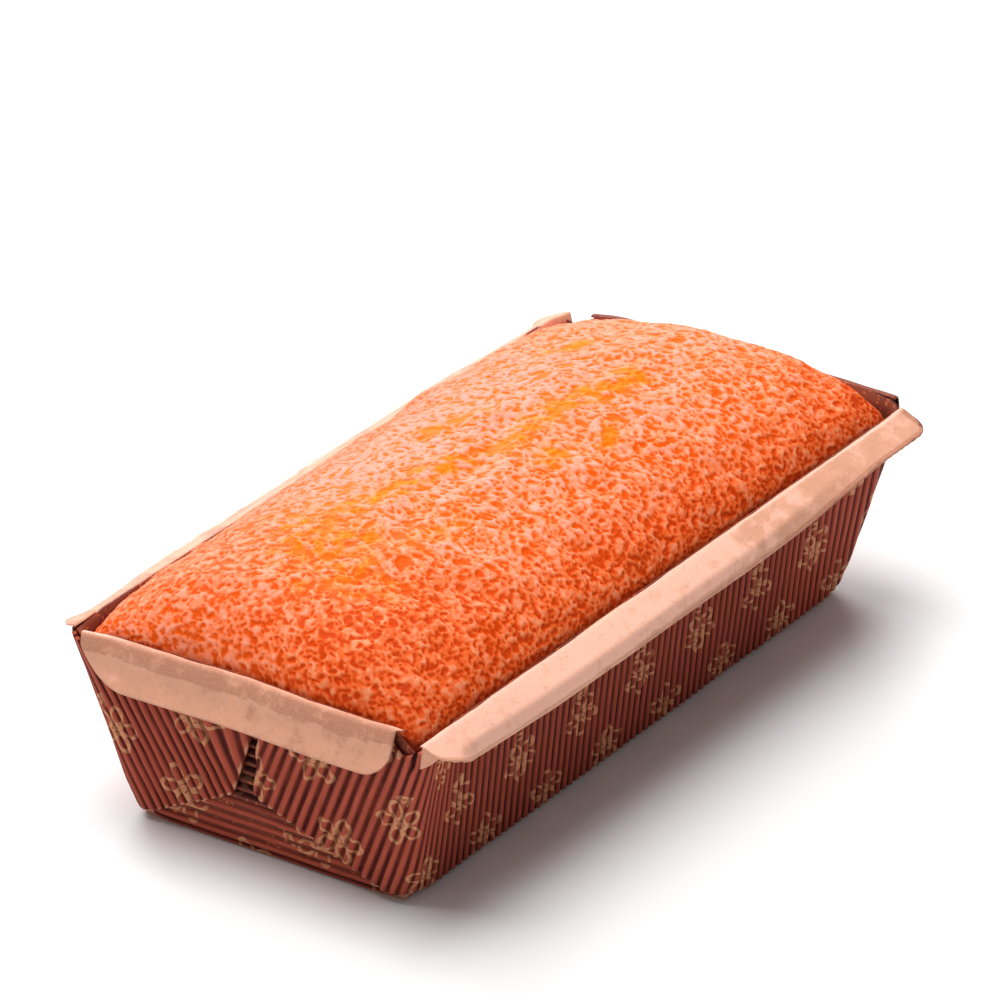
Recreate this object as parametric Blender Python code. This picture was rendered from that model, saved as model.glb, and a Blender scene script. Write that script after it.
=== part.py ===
"""Lemon loaf cake, baked and sold in its fluted paper case.

X runs along the loaf, Y across it and Z up. The origin is the middle of the case's underside.

The case is one sheet of single-faced corrugated board, folded: a floor, two long walls whose
flutes stand upright, and two ends. At an end the floor's own flap stands up with its flutes
level, and flaps of the long walls are folded over it from both sides. The rim is turned outward
all round: it slopes down gently along the sides, and hangs almost straight down at the ends.
The cake is one solid that fills the case and domes above its rim, with a split along the crest.
"""

import math

import bmesh
import bpy
from mathutils import Matrix, Vector, noise

# Case: outer planes of the walls, in metres. The flutes of an end stand proud of its plane.
HEIGHT = 0.0533
BASE_HALF_LENGTH = 0.1001
BASE_HALF_WIDTH = 0.0416
END_FLARE = 0.0101
SIDE_FLARE = 0.0128
BASE_CORNER = 0.0045
RIM_CORNER = 0.0065
FLOOR = 0.0020
SIDE_WALL = 0.0020
END_WALL = 0.0008
FOLD_RISE = 0.0006
COLLAR = 0.0024
COLLAR_LIFT = 0.0002
COLLAR_LAP = 0.0004

# Board
SHEET = 0.0010
FLUTES = 72
FLUTE_PITCH = 0.0029
FLUTE_DEPTH = 0.0011
FLUTE_STEPS = 2
CORNER_STEPS = 5

# Rim: a strip along each side, rounded at both outer corners. The folds and the lip are parts of
# a strip's profile, from the inside outward, as (length, degrees below level).
RIM_ROUND = 0.0100
ROUND_STEPS = 6
FOLD_SINK = 0.0002
SIDE_RIM_WIDTH = 0.0130
SIDE_RIM_END_GAP = 0.0005
SIDE_FOLD = ((0.0005, -20), (0.0015, 0), (0.0008, 14))
SIDE_SLOPE = 25
CURL_WIDTH = 0.0032
CURL_SLOPES = (50, 75, 75)
END_RIM_WIDTH = 0.0136
END_RIM_END_GAP = 0.0045
END_FOLD = ((0.0005, -20), (0.0027, 0), (0.0010, 28), (0.0010, 58))
END_SLOPE = 80
END_LIP = ((0.0006, 70), (0.0006, 70))

# Ends: outlines of the flaps on the end wall, as fractions of its breadth and of its slope
LEFT_FLAP = ((0.0, 0.0), (0.417, 0.335), (0.50, 0.667), (0.51, 1.0), (0.0, 1.0))
RIGHT_FLAP = ((1.0, 0.0), (1.0, 1.0), (0.52, 1.0), (0.50, 0.65), (0.467, 0.367))
FLOOR_FLAP = ((0.05, 0.0), (0.95, 0.0), (0.62, 0.93), (0.38, 0.93))
FLAP_FLUTE_TILT = 22
FLAP_LAP = 0.0018
LAP_RUN = 0.0014
LAP_STEP = 0.0006
FLAP_TOP_GAP = 0.0016
FLAP_FOOT = 0.0008
FLAP_LIP = 0.0006
FLAP_BURY = 0.0030
PANEL_REACH = 0.0750

# Corners of the rim, where the sheet is nicked between two strips
NOTCH_DEPTH = 0.0044
NOTCH_WIDTH = 0.0130
NOTCH_SPAN = 0.0160
NOTCH_SHIFT = 0.0005

# Cake
CREST = 0.0734
EDGE = 0.0490
CORNER_DIP = 0.0025
CREST_LEAN = 0.0020
END_POWER = 4.4
END_FULLNESS = 0.30
SIDE_FULLNESS = 0.57
FIT_GAP = 0.0003
CAKE_COLUMNS = 84
CAKE_ROWS = 38
EDGE_CROWDING = 0.55
CRAG_HEIGHT = 0.0009
CRAG_SIZE = 0.0085
SPLIT_DEPTH = 0.0016
SPLIT_WIDTH = 0.0034
SPLIT_REACH = 0.0860
LIP_HEIGHT = 0.0009

CRUST_COLOUR = (0.83, 0.33, 0.10, 1.0)
BOARD_COLOUR = (0.12, 0.03, 0.022, 1.0)


def clear_scene():
    """Removes every object the file opens with."""
    for item in list(bpy.data.objects):
        bpy.data.objects.remove(item, do_unlink=True)


def new_collection(name, hidden=False):
    """A collection linked to the scene."""
    group = bpy.data.collections.new(name)
    bpy.context.scene.collection.children.link(group)
    group.hide_render = hidden
    return group


def new_material(name, colour, roughness):
    """A plain Principled material."""
    material = bpy.data.materials.new(name)
    material.use_nodes = True
    shader = material.node_tree.nodes["Principled BSDF"]
    shader.inputs["Base Color"].default_value = colour
    shader.inputs["Roughness"].default_value = roughness
    shader.inputs["Metallic"].default_value = 0.0
    material.diffuse_color = colour
    return material


def new_object(name, bm, group, material=None):
    """Turns a bmesh into an object of the collection."""
    bmesh.ops.recalc_face_normals(bm, faces=bm.faces)
    mesh = bpy.data.meshes.new(name)
    bm.to_mesh(mesh)
    bm.free()
    item = bpy.data.objects.new(name, mesh)
    group.objects.link(item)
    if material:
        mesh.materials.append(material)
    return item


def helper_object(name, bm, group):
    """An object that only serves a Boolean."""
    item = new_object(name, bm, group)
    item.hide_render = True
    item.display_type = "WIRE"
    return item


def add_boolean(item, name, operation, operand=None, group=None):
    """Adds an exact Boolean with one object or with a whole collection."""
    step = item.modifiers.new(name, "BOOLEAN")
    step.solver = "EXACT"
    step.operation = operation
    if group:
        step.operand_type = "COLLECTION"
        step.collection = group
    else:
        step.object = operand


# ---------------------------------------------------------------- outlines of the case

def plan_ring(half_length, half_width, radius, depth=0.0, steps=2, lap=0.0):
    """A rounded rectangle, anticlockwise.

    With a depth, its long sides are fluted. With a lap, its corners stand proud of the ends,
    as the sheet does where it comes round from a long wall to its flap.
    """
    run = half_length + lap - radius
    reach = half_width - radius
    half = []
    for i in range(steps + 1):
        wave = 0.5 * depth * (1 - math.cos(2 * math.pi * i / FLUTE_STEPS))
        half.append((-run + 2 * run * i / steps, -half_width + wave))
    for k in range(1, CORNER_STEPS + 1):
        turn = math.radians(90 * k / CORNER_STEPS)
        half.append((run + radius * math.sin(turn), -reach - radius * math.cos(turn)))
    if lap:
        inner = reach - LAP_RUN
        half.append((half_length + lap, -inner))
        half.append((half_length, -inner + LAP_STEP))
        half.append((half_length, inner - LAP_STEP))
        half.append((half_length + lap, inner))
    for k in range(CORNER_STEPS):
        turn = math.radians(90 * k / CORNER_STEPS)
        half.append((run + radius * math.cos(turn), reach + radius * math.sin(turn)))
    return half + [(-x, -y) for x, y in half]


def loft(lower, lower_z, upper, upper_z):
    """A closed body between two rings that have as many points as each other."""
    bm = bmesh.new()
    order = bm.verts.layers.int.new("order")
    ring = [bm.verts.new((x, y, lower_z)) for x, y in lower]
    for i, vert in enumerate(ring):
        vert[order] = i
    made = bmesh.ops.extrude_face_region(bm, geom=[bm.faces.new(ring)])
    for vert in made["geom"]:
        if isinstance(vert, bmesh.types.BMVert):
            x, y = upper[vert[order]]
            vert.co = (x, y, upper_z)
    return bm


def flare(z):
    """How far the ends and the sides have leaned out at a height."""
    return END_FLARE * z / HEIGHT, SIDE_FLARE * z / HEIGHT


def corner_radius(z):
    """Outer corner radius at a height."""
    return BASE_CORNER + (RIM_CORNER - BASE_CORNER) * z / HEIGHT


def outer_ring(z):
    """Outer outline of the case at a height, with the flutes of its long walls."""
    out, side = flare(z)
    return plan_ring(BASE_HALF_LENGTH + out, BASE_HALF_WIDTH + side, corner_radius(z),
                     FLUTE_DEPTH, FLUTES * FLUTE_STEPS, FLAP_LAP)


def collar_ring(z):
    """Outline of the plain band that closes the tops of the flutes, just proud of them."""
    out, side = flare(z)
    return plan_ring(BASE_HALF_LENGTH + out + COLLAR_LIFT, BASE_HALF_WIDTH + side + COLLAR_LIFT,
                     corner_radius(z) + COLLAR_LIFT, lap=FLAP_LAP)


def inner_size(z):
    """Half length, half width and corner radius of the inside at a height."""
    out, side = flare(z)
    return (BASE_HALF_LENGTH + out - END_WALL, BASE_HALF_WIDTH + side - SIDE_WALL,
            corner_radius(z) - END_WALL)


# ---------------------------------------------------------------- rim strips

def walk(start, steps):
    """Points of a path in (out, up), from steps of (length, degrees below level)."""
    path = [Vector(start)]
    for length, degrees in steps:
        turn = math.radians(degrees)
        path.append(path[-1] + Vector((length * math.cos(turn), -length * math.sin(turn))))
    return path


def path_normals(path):
    """Upward normals of a path, averaged at its corners."""
    normals = []
    for k in range(len(path)):
        along = path[min(k + 1, len(path) - 1)] - path[max(k - 1, 0)]
        normals.append(Vector((-along.y, along.x)).normalized())
    return normals


def rim_strip(path, half_length, matrix):
    """A strip that follows a path outward, as long as the wall, with round outer corners."""
    count = len(path) - 1
    normals = path_normals(path)
    left = [sum((b - a).length for a, b in zip(path[k:], path[k + 1:])) for k in range(count + 1)]
    bm = bmesh.new()
    row = bm.verts.layers.int.new("row")
    bmesh.ops.create_grid(bm, x_segments=1, y_segments=count, size=1.0)
    for vert in bm.verts:
        k = vert[row] = round((vert.co.y + 1) / 2 * count)
        past = max(0.0, RIM_ROUND - left[k])
        cut = RIM_ROUND - math.sqrt(max(0.0, RIM_ROUND ** 2 - past ** 2))
        vert.co = (math.copysign(half_length - cut, vert.co.x), -path[k].x, path[k].y)
    for vert in bmesh.ops.extrude_face_region(bm, geom=bm.faces[:])["geom"]:
        if isinstance(vert, bmesh.types.BMVert):
            normal = normals[vert[row]]
            vert.co -= SHEET * Vector((0, -normal.x, normal.y))
    bmesh.ops.transform(bm, matrix=matrix, verts=bm.verts)
    return bm


def profile_length(steps):
    """Length of a stretch of a strip's profile."""
    return sum(length for length, _ in steps)


def side_rim_path():
    """Profile of the strip along a long side: over the fold, out, and curled down at its edge."""
    slope = SIDE_RIM_WIDTH - profile_length(SIDE_FOLD) - CURL_WIDTH
    curl = tuple((CURL_WIDTH / len(CURL_SLOPES), degrees) for degrees in CURL_SLOPES)
    steps = SIDE_FOLD + ((slope / 2, SIDE_SLOPE),) * 2 + curl
    return walk((inner_size(HEIGHT)[1] - FOLD_SINK, HEIGHT - FOLD_SINK), steps)


def end_rim_path():
    """Profile of the strip at an end: over the flaps, then almost straight down."""
    drop = END_RIM_WIDTH - profile_length(END_FOLD) - profile_length(END_LIP)
    steps = END_FOLD + ((drop / ROUND_STEPS, END_SLOPE),) * ROUND_STEPS + END_LIP
    return walk((inner_size(HEIGHT)[0] - FOLD_SINK, HEIGHT - FOLD_SINK), steps)


# ---------------------------------------------------------------- end flaps

def end_matrix(lift):
    """From (right, up the slope, out of the wall) to the near end, lifted off its plane."""
    lean = math.atan2(END_FLARE, HEIGHT)
    out = Vector((-math.cos(lean), 0, -math.sin(lean)))
    up = Vector((-math.sin(lean), 0, math.cos(lean)))
    right = Vector((0, -1, 0))
    origin = Vector((-BASE_HALF_LENGTH, 0, 0)) + out * lift
    return Matrix.Translation(origin) @ Matrix((right, up, out)).transposed().to_4x4()


def fluted_panel(outline, tilt, depth_back, matrix):
    """A fluted slab with a flat back, cut to an outline given anticlockwise in the wall's plane."""
    flutes = math.ceil(2 * PANEL_REACH / FLUTE_PITCH)
    columns = flutes * FLUTE_STEPS
    bm = bmesh.new()
    bmesh.ops.create_grid(bm, x_segments=columns, y_segments=1, size=1.0)
    for vert in bm.verts:
        step = round((vert.co.x + 1) / 2 * columns)
        wave = 0.5 * FLUTE_DEPTH * (1 - math.cos(2 * math.pi * step / FLUTE_STEPS))
        across = (step / FLUTE_STEPS - flutes / 2) * FLUTE_PITCH
        vert.co = (across, vert.co.y * PANEL_REACH, -wave)
    middle = sum((Vector(p) for p in outline), Vector((0, 0))) / len(outline)
    turn = Matrix.Rotation(math.radians(tilt), 4, "Z")
    bmesh.ops.transform(bm, matrix=Matrix.Translation(middle.to_3d()) @ turn, verts=bm.verts)
    for a, b in zip(outline, outline[1:] + outline[:1]):
        along = Vector(b) - Vector(a)
        bmesh.ops.bisect_plane(bm, geom=bm.verts[:] + bm.edges[:] + bm.faces[:], dist=1e-7,
                               plane_co=(a[0], a[1], 0), plane_no=(along.y, -along.x, 0),
                               clear_outer=True)
    for vert in bmesh.ops.extrude_face_region(bm, geom=bm.faces[:])["geom"]:
        if isinstance(vert, bmesh.types.BMVert):
            vert.co.z = -depth_back
    bmesh.ops.transform(bm, matrix=matrix, verts=bm.verts)
    return bm


def wall_outline(fractions):
    """An outline in the near end's plane, kept off the round corners of the case."""
    slope = math.hypot(HEIGHT, END_FLARE) - FLAP_TOP_GAP - FLAP_FOOT
    outline = []
    for across, up in fractions:
        half = BASE_HALF_WIDTH + SIDE_FLARE * up
        most = half - corner_radius(up * HEIGHT) + FLAP_LIP
        outline.append((max(-most, min(most, half * (2 * across - 1))), FLAP_FOOT + slope * up))
    return outline


def end_parts(matrix, group, name):
    """The three flaps and the rim strip of one end."""
    panels = (("floor_flap", FLOOR_FLAP, 90, FLUTE_DEPTH),
              ("left_flap", LEFT_FLAP, FLAP_FLUTE_TILT, FLAP_LAP + FLUTE_DEPTH / 2),
              ("right_flap", RIGHT_FLAP, -FLAP_FLUTE_TILT, FLAP_LAP + FLUTE_DEPTH / 2))
    for label, fractions, tilt, lift in panels:
        place = matrix @ end_matrix(lift)
        bm = fluted_panel(wall_outline(fractions), tilt, lift + FLAP_BURY, place)
        helper_object(f"{name}_{label}", bm, group)
    half = inner_size(HEIGHT)[1] - END_RIM_END_GAP
    turned = matrix @ Matrix.Rotation(math.radians(-90), 4, "Z")
    helper_object(f"{name}_rim", rim_strip(end_rim_path(), half, turned), group)


# ---------------------------------------------------------------- case

def corner_notches(group):
    """V-shaped cutters that nick the rim at its four corners."""
    half_length, half_width, _ = inner_size(HEIGHT)
    shape = Matrix.Diagonal((2 * NOTCH_DEPTH / NOTCH_WIDTH, 1, 1, 1))
    lay = Matrix.Rotation(math.radians(90), 4, "Y") @ shape
    for end, sx in (("near", -1), ("far", 1)):
        for side, sy in (("right", -1), ("left", 1)):
            bm = bmesh.new()
            bmesh.ops.create_cone(bm, cap_ends=True, segments=4, radius1=NOTCH_WIDTH / 2,
                                  radius2=NOTCH_WIDTH / 2, depth=NOTCH_SPAN)
            corner = (sx * (half_length - NOTCH_SHIFT), sy * (half_width - NOTCH_SHIFT), HEIGHT)
            turn = Matrix.Rotation(math.atan2(sy, sx), 4, "Z")
            place = Matrix.Translation(corner) @ turn @ lay
            bmesh.ops.transform(bm, matrix=place, verts=bm.verts)
            helper_object(f"notch_{end}_{side}", bm, group)


def build_case(group, joined, cutters, material):
    """The whole folded case as one solid."""
    top = HEIGHT - FOLD_RISE
    under = top - COLLAR
    case = new_object("case", loft(outer_ring(0), 0.0, outer_ring(under), under), group, material)
    collar = loft(collar_ring(under - COLLAR_LAP), under - COLLAR_LAP, collar_ring(top), top)
    helper_object("collar", collar, joined)
    side_half = inner_size(HEIGHT)[0] - SIDE_RIM_END_GAP
    for name, degrees in (("near_side", 0), ("far_side", 180)):
        turn = Matrix.Rotation(math.radians(degrees), 4, "Z")
        helper_object(f"{name}_rim", rim_strip(side_rim_path(), side_half, turn), joined)
    end_parts(Matrix.Identity(4), joined, "near_end")
    end_parts(Matrix.Rotation(math.pi, 4, "Z"), joined, "far_end")
    mouth = HEIGHT + 0.002
    hollow = loft(plan_ring(*inner_size(FLOOR)), FLOOR, plan_ring(*inner_size(mouth)), mouth)
    helper_object("inside", hollow, cutters)
    corner_notches(cutters)
    add_boolean(case, "flaps_and_rim", "UNION", group=joined)
    add_boolean(case, "hollow_and_notches", "DIFFERENCE", group=cutters)
    return case


# ---------------------------------------------------------------- cake

def crowd(t):
    """Spreads grid lines so that they lie closer together towards both edges."""
    return (1 - EDGE_CROWDING) * t + EDGE_CROWDING * math.sin(t * math.pi / 2)


def round_corner(x, y, half_length, half_width, radius):
    """Moves a point of a sharp rectangle into one with round corners."""
    dx = (abs(x) - half_length + radius) / radius
    dy = (abs(y) - half_width + radius) / radius
    if dx <= 0 or dy <= 0:
        return x, y
    px = half_length - radius + radius * dx * math.sqrt(1 - dy * dy / 2)
    py = half_width - radius + radius * dy * math.sqrt(1 - dx * dx / 2)
    return math.copysign(px, x), math.copysign(py, y)


def dome(xi, eta):
    """How full the dome is, from 0 at the case to 1 at the middle of the crest."""
    ends = max(0.0, 1 - abs(xi) ** END_POWER) ** END_FULLNESS
    sides = max(0.0, 1 - eta * eta) ** SIDE_FULLNESS
    return ends * sides


def split_line(x):
    """Where the split of the crest runs, across the loaf."""
    return 0.0045 * math.sin(x * 42 + 0.4) + 0.0022 * math.sin(x * 133)


def relief(x, y, fullness):
    """Crags of the crust and the split along the crest, as a height."""
    spot = Vector((x, y, 0.0)) / CRAG_SIZE
    crags = noise.noise(spot) * CRAG_HEIGHT + 0.5 * noise.noise(spot * 2.1) * CRAG_HEIGHT
    away = abs(y - split_line(x)) / SPLIT_WIDTH
    open_here = 0.5 + 0.5 * noise.noise(Vector((x * 55, 3.7, 0.0)))
    reach = max(0.0, 1 - (x / SPLIT_REACH) ** 4)
    split = -SPLIT_DEPTH * math.exp(-away * away) + LIP_HEIGHT * math.exp(-(away - 2.2) ** 2)
    return min(1.0, 2.5 * fullness) * crags + open_here * reach * split


def build_cake(group, material):
    """The cake: a domed and craggy top over a body that fills the case."""
    bm = bmesh.new()
    bmesh.ops.create_grid(bm, x_segments=CAKE_COLUMNS, y_segments=CAKE_ROWS, size=1.0)
    rim = [e for e in bm.edges if e.is_boundary]
    for vert in bm.verts:
        xi = crowd(vert.co.x)
        eta = crowd(vert.co.y)
        edge = EDGE - CORNER_DIP * abs(xi) ** 8 * abs(eta) ** 6
        half_length, half_width, radius = inner_size(edge)
        half_length -= FIT_GAP
        half_width -= FIT_GAP
        x, y = round_corner(xi * half_length, eta * half_width, half_length, half_width, radius)
        fullness = dome(xi, eta)
        height = edge + (CREST - edge - CREST_LEAN * xi) * fullness
        vert.co = (x, y, height + relief(x, y, fullness))
    skirt = bmesh.ops.extrude_edge_only(bm, edges=rim)["geom"]
    foot = inner_size(FLOOR + FIT_GAP)
    for vert in skirt:
        if isinstance(vert, bmesh.types.BMVert):
            top = inner_size(vert.co.z)
            vert.co.x *= 1 - (top[0] - foot[0]) / top[0]
            vert.co.y *= 1 - (top[1] - foot[1]) / top[1]
            vert.co.z = FLOOR + FIT_GAP
    bottom = [e for e in skirt if isinstance(e, bmesh.types.BMEdge) and e.is_boundary]
    bmesh.ops.contextual_create(bm, geom=bottom)
    cake = new_object("cake", bm, group, material)
    cake.data.shade_smooth()
    return cake


def main():
    """Builds the cake and its case."""
    clear_scene()
    group = new_collection("lemon_loaf_cake")
    joined = new_collection("case_parts", hidden=True)
    cutters = new_collection("case_cutters", hidden=True)
    build_case(group, joined, cutters, new_material("board", BOARD_COLOUR, 0.85))
    build_cake(group, new_material("crust", CRUST_COLOUR, 0.7))


main()
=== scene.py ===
"""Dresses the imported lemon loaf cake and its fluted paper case, and sets the studio around it.

Run as a script. The sheet of the case is worked out flat and then folded, as the real one is:
each long wall is one fluted sheet that turns round both corners and ends in a flap, and the
board's print follows the sheet. X runs along the loaf, Y across it and Z up, in metres.
"""

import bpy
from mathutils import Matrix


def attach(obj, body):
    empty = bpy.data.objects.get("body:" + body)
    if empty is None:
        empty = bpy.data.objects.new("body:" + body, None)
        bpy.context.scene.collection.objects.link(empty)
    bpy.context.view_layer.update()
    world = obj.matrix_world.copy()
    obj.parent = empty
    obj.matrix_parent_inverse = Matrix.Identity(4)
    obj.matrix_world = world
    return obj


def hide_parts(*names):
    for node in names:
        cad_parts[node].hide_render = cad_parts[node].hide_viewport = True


bl_info = {
    "name": "Lemon Loaf Cake",
    "version": (1, 0, 0),
    "blender": (4, 5, 0),
    "location": "3D View > Sidebar > Loaf Cake",
    "description": "Builds a lemon loaf cake in its fluted paper case",
    "category": "Add Mesh",
}

import math

import bmesh
import bpy
from bpy.props import FloatProperty, FloatVectorProperty, IntProperty, PointerProperty
from mathutils import Matrix, Vector, noise

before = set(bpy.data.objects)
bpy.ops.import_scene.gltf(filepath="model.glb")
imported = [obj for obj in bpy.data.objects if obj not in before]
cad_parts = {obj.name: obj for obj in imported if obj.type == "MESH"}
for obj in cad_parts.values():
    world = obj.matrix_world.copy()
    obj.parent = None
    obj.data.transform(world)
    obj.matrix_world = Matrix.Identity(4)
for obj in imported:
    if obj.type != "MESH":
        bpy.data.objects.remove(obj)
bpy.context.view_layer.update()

BODY = "root"
TAU = 2 * math.pi
UP = Vector((0, 0, 1))
FLAT = "sheet"
WEAR_AND_LIGHT = "wear_and_light"
RELIEF = "relief"
GOLD = "gold"
EDGE = "edge"
PAINTED_SHEEN = "painted_sheen"
ACROSS = "across"


# --- settings

def length(name, description, default):
    """A size in metres."""
    return FloatProperty(name=name, description=description, default=default, unit="LENGTH",
                         precision=5, min=0.0)


def angle(name, description, degrees):
    """An angle, given in degrees."""
    return FloatProperty(name=name, description=description, default=math.radians(degrees),
                         unit="ROTATION")


def share(name, description, default):
    """A plain number."""
    return FloatProperty(name=name, description=description, default=default)


def colour(name, description, default):
    """A linear colour."""
    return FloatVectorProperty(name=name, description=description, default=default,
                               subtype="COLOR", size=3, min=0.0, max=1.0)


class LoafCaseSettings(bpy.types.PropertyGroup):
    """Sizes and colours of the paper case."""

    height: length("Height", "Height of the fold at the top of the walls", 0.0533)
    half_length: length("Half length", "Half the base's length, to the plane of an end", 0.1001)
    half_width: length("Half width", "Half the base's width, over the flutes", 0.0416)
    end_flare: length("End flare", "How far an end leans out over its height", 0.0101)
    side_flare: length("Side flare", "How far a long wall leans out over its height", 0.0128)
    corner: length("Corner", "Radius of the sheet where it turns a corner", 0.0055)
    wall: length("Wall", "Thickness of a long wall over its flutes", 0.0020)
    end_wall: length("End wall", "Thickness of the end behind its flutes", 0.0008)
    flap: length("Flap", "Thickness of a flap over its flutes", 0.0011)
    flap_lift: length("Flap lift", "How far a flap's flutes stand off the plane of an end", 0.0017)
    floor: length("Floor", "Thickness of the floor", 0.0020)
    flute_pitch: length("Flute pitch", "Distance from one flute to the next", 0.0029)
    flute_depth: length("Flute depth", "Depth of a flute", 0.0008)
    base_round: length("Base round", "Radius of the fold at the base", 0.0016)
    base_lift: length("Base lift", "How far the base's corners are rounded up", 0.0021)
    notch_depth: length("Notch depth", "How deep the rim is nicked at the near corner", 0.0042)
    notch_reach: length("Notch reach", "How far a nick reaches along the wall", 0.0060)
    notch_shift: length("Notch shift", "How far a nick lies past the corner, on the end", 0.0056)
    strip: length("Strip", "Thickness of a rim strip", 0.0006)
    side_rim: length("Side rim", "Width of the strip along a long side", 0.0130)
    end_rim: length("End rim", "Width of the strip at an end", 0.0144)
    crown: length("Crown", "How much higher the far end's paper stands", 0.0021)
    bow: length("Bow", "How far the near end's rim bows in at its middle", 0.0031)
    board: colour("Board", "Printed brown of the flutes' crests", (0.55, 0.110, 0.066))
    # Partly ink pooled between the flutes, partly painted shade in the valleys.
    valley_ink_and_shade: colour("Valley", "Brown between the flutes", (0.075, 0.0100, 0.0075))
    print_ink: colour("Print", "Pale gold of the printed flowers", (0.72, 0.34, 0.17))
    kraft: colour("Kraft", "Plain kraft of the rim", (0.80, 0.36, 0.215))
    # Partly real rubbing, partly painted sheen and painted highlight on the rim's tops and folds.
    rubbed_and_lit: colour("Rubbed", "Paler kraft, rubbed or dry", (0.98, 0.50, 0.36))
    # Mostly a painted white highlight on the far side's outer edge; also pale patches on the near strip.
    bleach_and_highlight: colour("Bleached", "Nearly white kraft of the far side's outer edge", (0.62, 0.53, 0.505))
    shaded: colour("Shaded", "Darker kraft next to a fold", (0.57, 0.220, 0.120))
    stain: colour("Stain", "Kraft soaked with fat inside the case", (0.150, 0.030, 0.017))


class LoafCakeSettings(bpy.types.PropertyGroup):
    """Sizes and colours of the cake."""

    crest: length("Crest", "Height of the dome's crest", 0.0729)
    edge: length("Edge", "Height at which the cake meets its case", 0.0490)
    corner_dip: length("Corner dip", "How much lower the cake stays in a corner", 0.0025)
    back_rise: length("Back rise", "How much higher the cake meets the far wall", 0.0034)
    lean: length("Lean", "How much the crest drops towards the far end", 0.0020)
    end_power: share("End power", "How far the crest stays level towards the ends", 4.4)
    end_fullness: share("End fullness", "How round the ends of the dome are", 0.30)
    side_fullness: share("Side fullness", "How round the sides of the dome are", 0.57)
    gap: length("Gap", "Gap between cake and case", 0.0003)
    parts: IntProperty(name="Parts", description="Pieces that the fine crust is made in", default=3)
    columns: IntProperty(name="Columns", description="Faces along one part of the crust", default=288)
    rows: IntProperty(name="Rows", description="Faces across the loaf", default=330)
    seed: IntProperty(name="Seed", description="Which crumb is drawn", default=1, min=1)
    crag: length("Crag", "Height of the larger crags", 0.0009)
    grain: length("Grain", "Height of the fine grain", 0.00030)
    pore: length("Pore", "Depth of the open pores", 0.00045)
    split: length("Split", "Depth of the split along the crest", 0.0012)
    pit: colour("Pit", "Moist orange of the crust's pits", (0.92, 0.105, 0.0005))
    crumb: colour("Crumb", "Crust between pits and peaks", (0.98, 0.255, 0.086))
    peak: colour("Peak", "Dry peaks of the crust", (1.0, 0.39, 0.29))
    # Painted sheen: the paler crust of the far side stands in for the sheen of the light from behind.
    sheen_pit: colour("Pale pit", "Pits of the paler crust at the far side", (1.0, 0.175, 0.002))
    sheen_crumb: colour("Pale crumb", "Paler crust at the far side", (1.0, 0.325, 0.215))
    sheen_peak: colour("Pale peak", "Peaks of the paler crust", (1.0, 0.375, 0.31))
    golden_pit: colour("Golden pit", "Pits of the golden streaks", (1.0, 0.19, 0.0003))
    golden: colour("Golden", "Golden streaks of the crest", (1.0, 0.225, 0.002))
    golden_peak: colour("Golden peak", "Peaks of the golden streaks", (1.0, 0.29, 0.045))
    # Partly baked browning at the case, partly painted shade on the near side.
    browned_shaded_pit: colour("Browned pit", "Pits of the crust next to the case", (0.66, 0.050, 0.001))
    browned_and_shaded: colour("Browned", "Crust next to the case", (0.93, 0.130, 0.018))
    browned_shaded_peak: colour("Browned peak", "Peaks of the crust next to the case", (1.0, 0.325, 0.155))
    # Partly a burnt edge, partly a painted shadow where the crust meets the case.
    burnt_and_shadow: colour("Burnt", "The very edge of the crust", (0.22, 0.020, 0.004))


class LoafStageSettings(bpy.types.PropertyGroup):
    """Floor, light and camera."""

    target: FloatVectorProperty(name="Target", description="Point the camera looks at",
                                default=(0.01928, 0.01253, 0.04527), subtype="TRANSLATION")
    azimuth: angle("Azimuth", "Turn of the camera about the object", -56.226)
    elevation: angle("Elevation", "Height of the camera above the horizon", 26.926)
    roll: angle("Roll", "Turn of the camera about its own axis", 0.2735)
    distance: length("Distance", "From the camera to its target", 2.0439)
    lens: FloatProperty(name="Lens", description="Focal length in millimetres", default=288.0)
    key: FloatProperty(name="Key", description="Power of the light overhead, in watts", default=33.0)
    back: FloatProperty(name="Back", description="Power of the light behind, in watts", default=24.0)
    sky: share("Sky", "Strength of the even light all round", 0.26)
    floor_tone: colour("Floor", "Colour of the floor", (0.89, 0.89, 0.89))


# --- shared helpers

def smooth(low, high, value):
    """A smooth step from 0 at low to 1 at high."""
    t = max(0.0, min(1.0, (value - low) / (high - low)))
    return t * t * (3 - 2 * t)


def rough(x, y, size, seed=0.0):
    """Smooth noise from -1 to 1 with features of a size."""
    return noise.noise(Vector((x / size, y / size, seed)))


def walk(start, steps):
    """Points of a path in (out, up), from steps of (length, degrees below level)."""
    path = [Vector(start)]
    for far, degrees in steps:
        turn = math.radians(degrees)
        path.append(path[-1] + Vector((far * math.cos(turn), -far * math.sin(turn))))
    return path


def settle(case, co, paper=True):
    """Moves a point with the slight bow of the ends; the paper of the far end stands a little higher."""
    rise = max(0.0, co.z / case.height) ** 2
    near = smooth(0.055, 0.112, -co.x)
    far = smooth(0.070, 0.112, co.x)
    flat = 1 - smooth(0.040, 0.053, abs(co.y))
    dent = math.exp(-((co.y - 0.005) / 0.015) ** 2)
    leaned = math.exp(-((co.y + 0.030) / 0.018) ** 2)
    co.x += rise * (near * case.bow * (0.55 * flat + 0.45 * dent) + far * 0.0012 * leaned)
    if paper:
        inner = smooth(0.050, 0.032, co.y) * smooth(-0.0535, -0.0490, co.y)
        co.z += min(1.0, rise) * case.crown * smooth(0.098, 0.108, co.x) * inner
        nearness = smooth(0.010, 0.0, corner_nearness(case, co))
        co.z += case.base_lift * nearness * smooth(0.011, 0.0, co.z)
    return co


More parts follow.
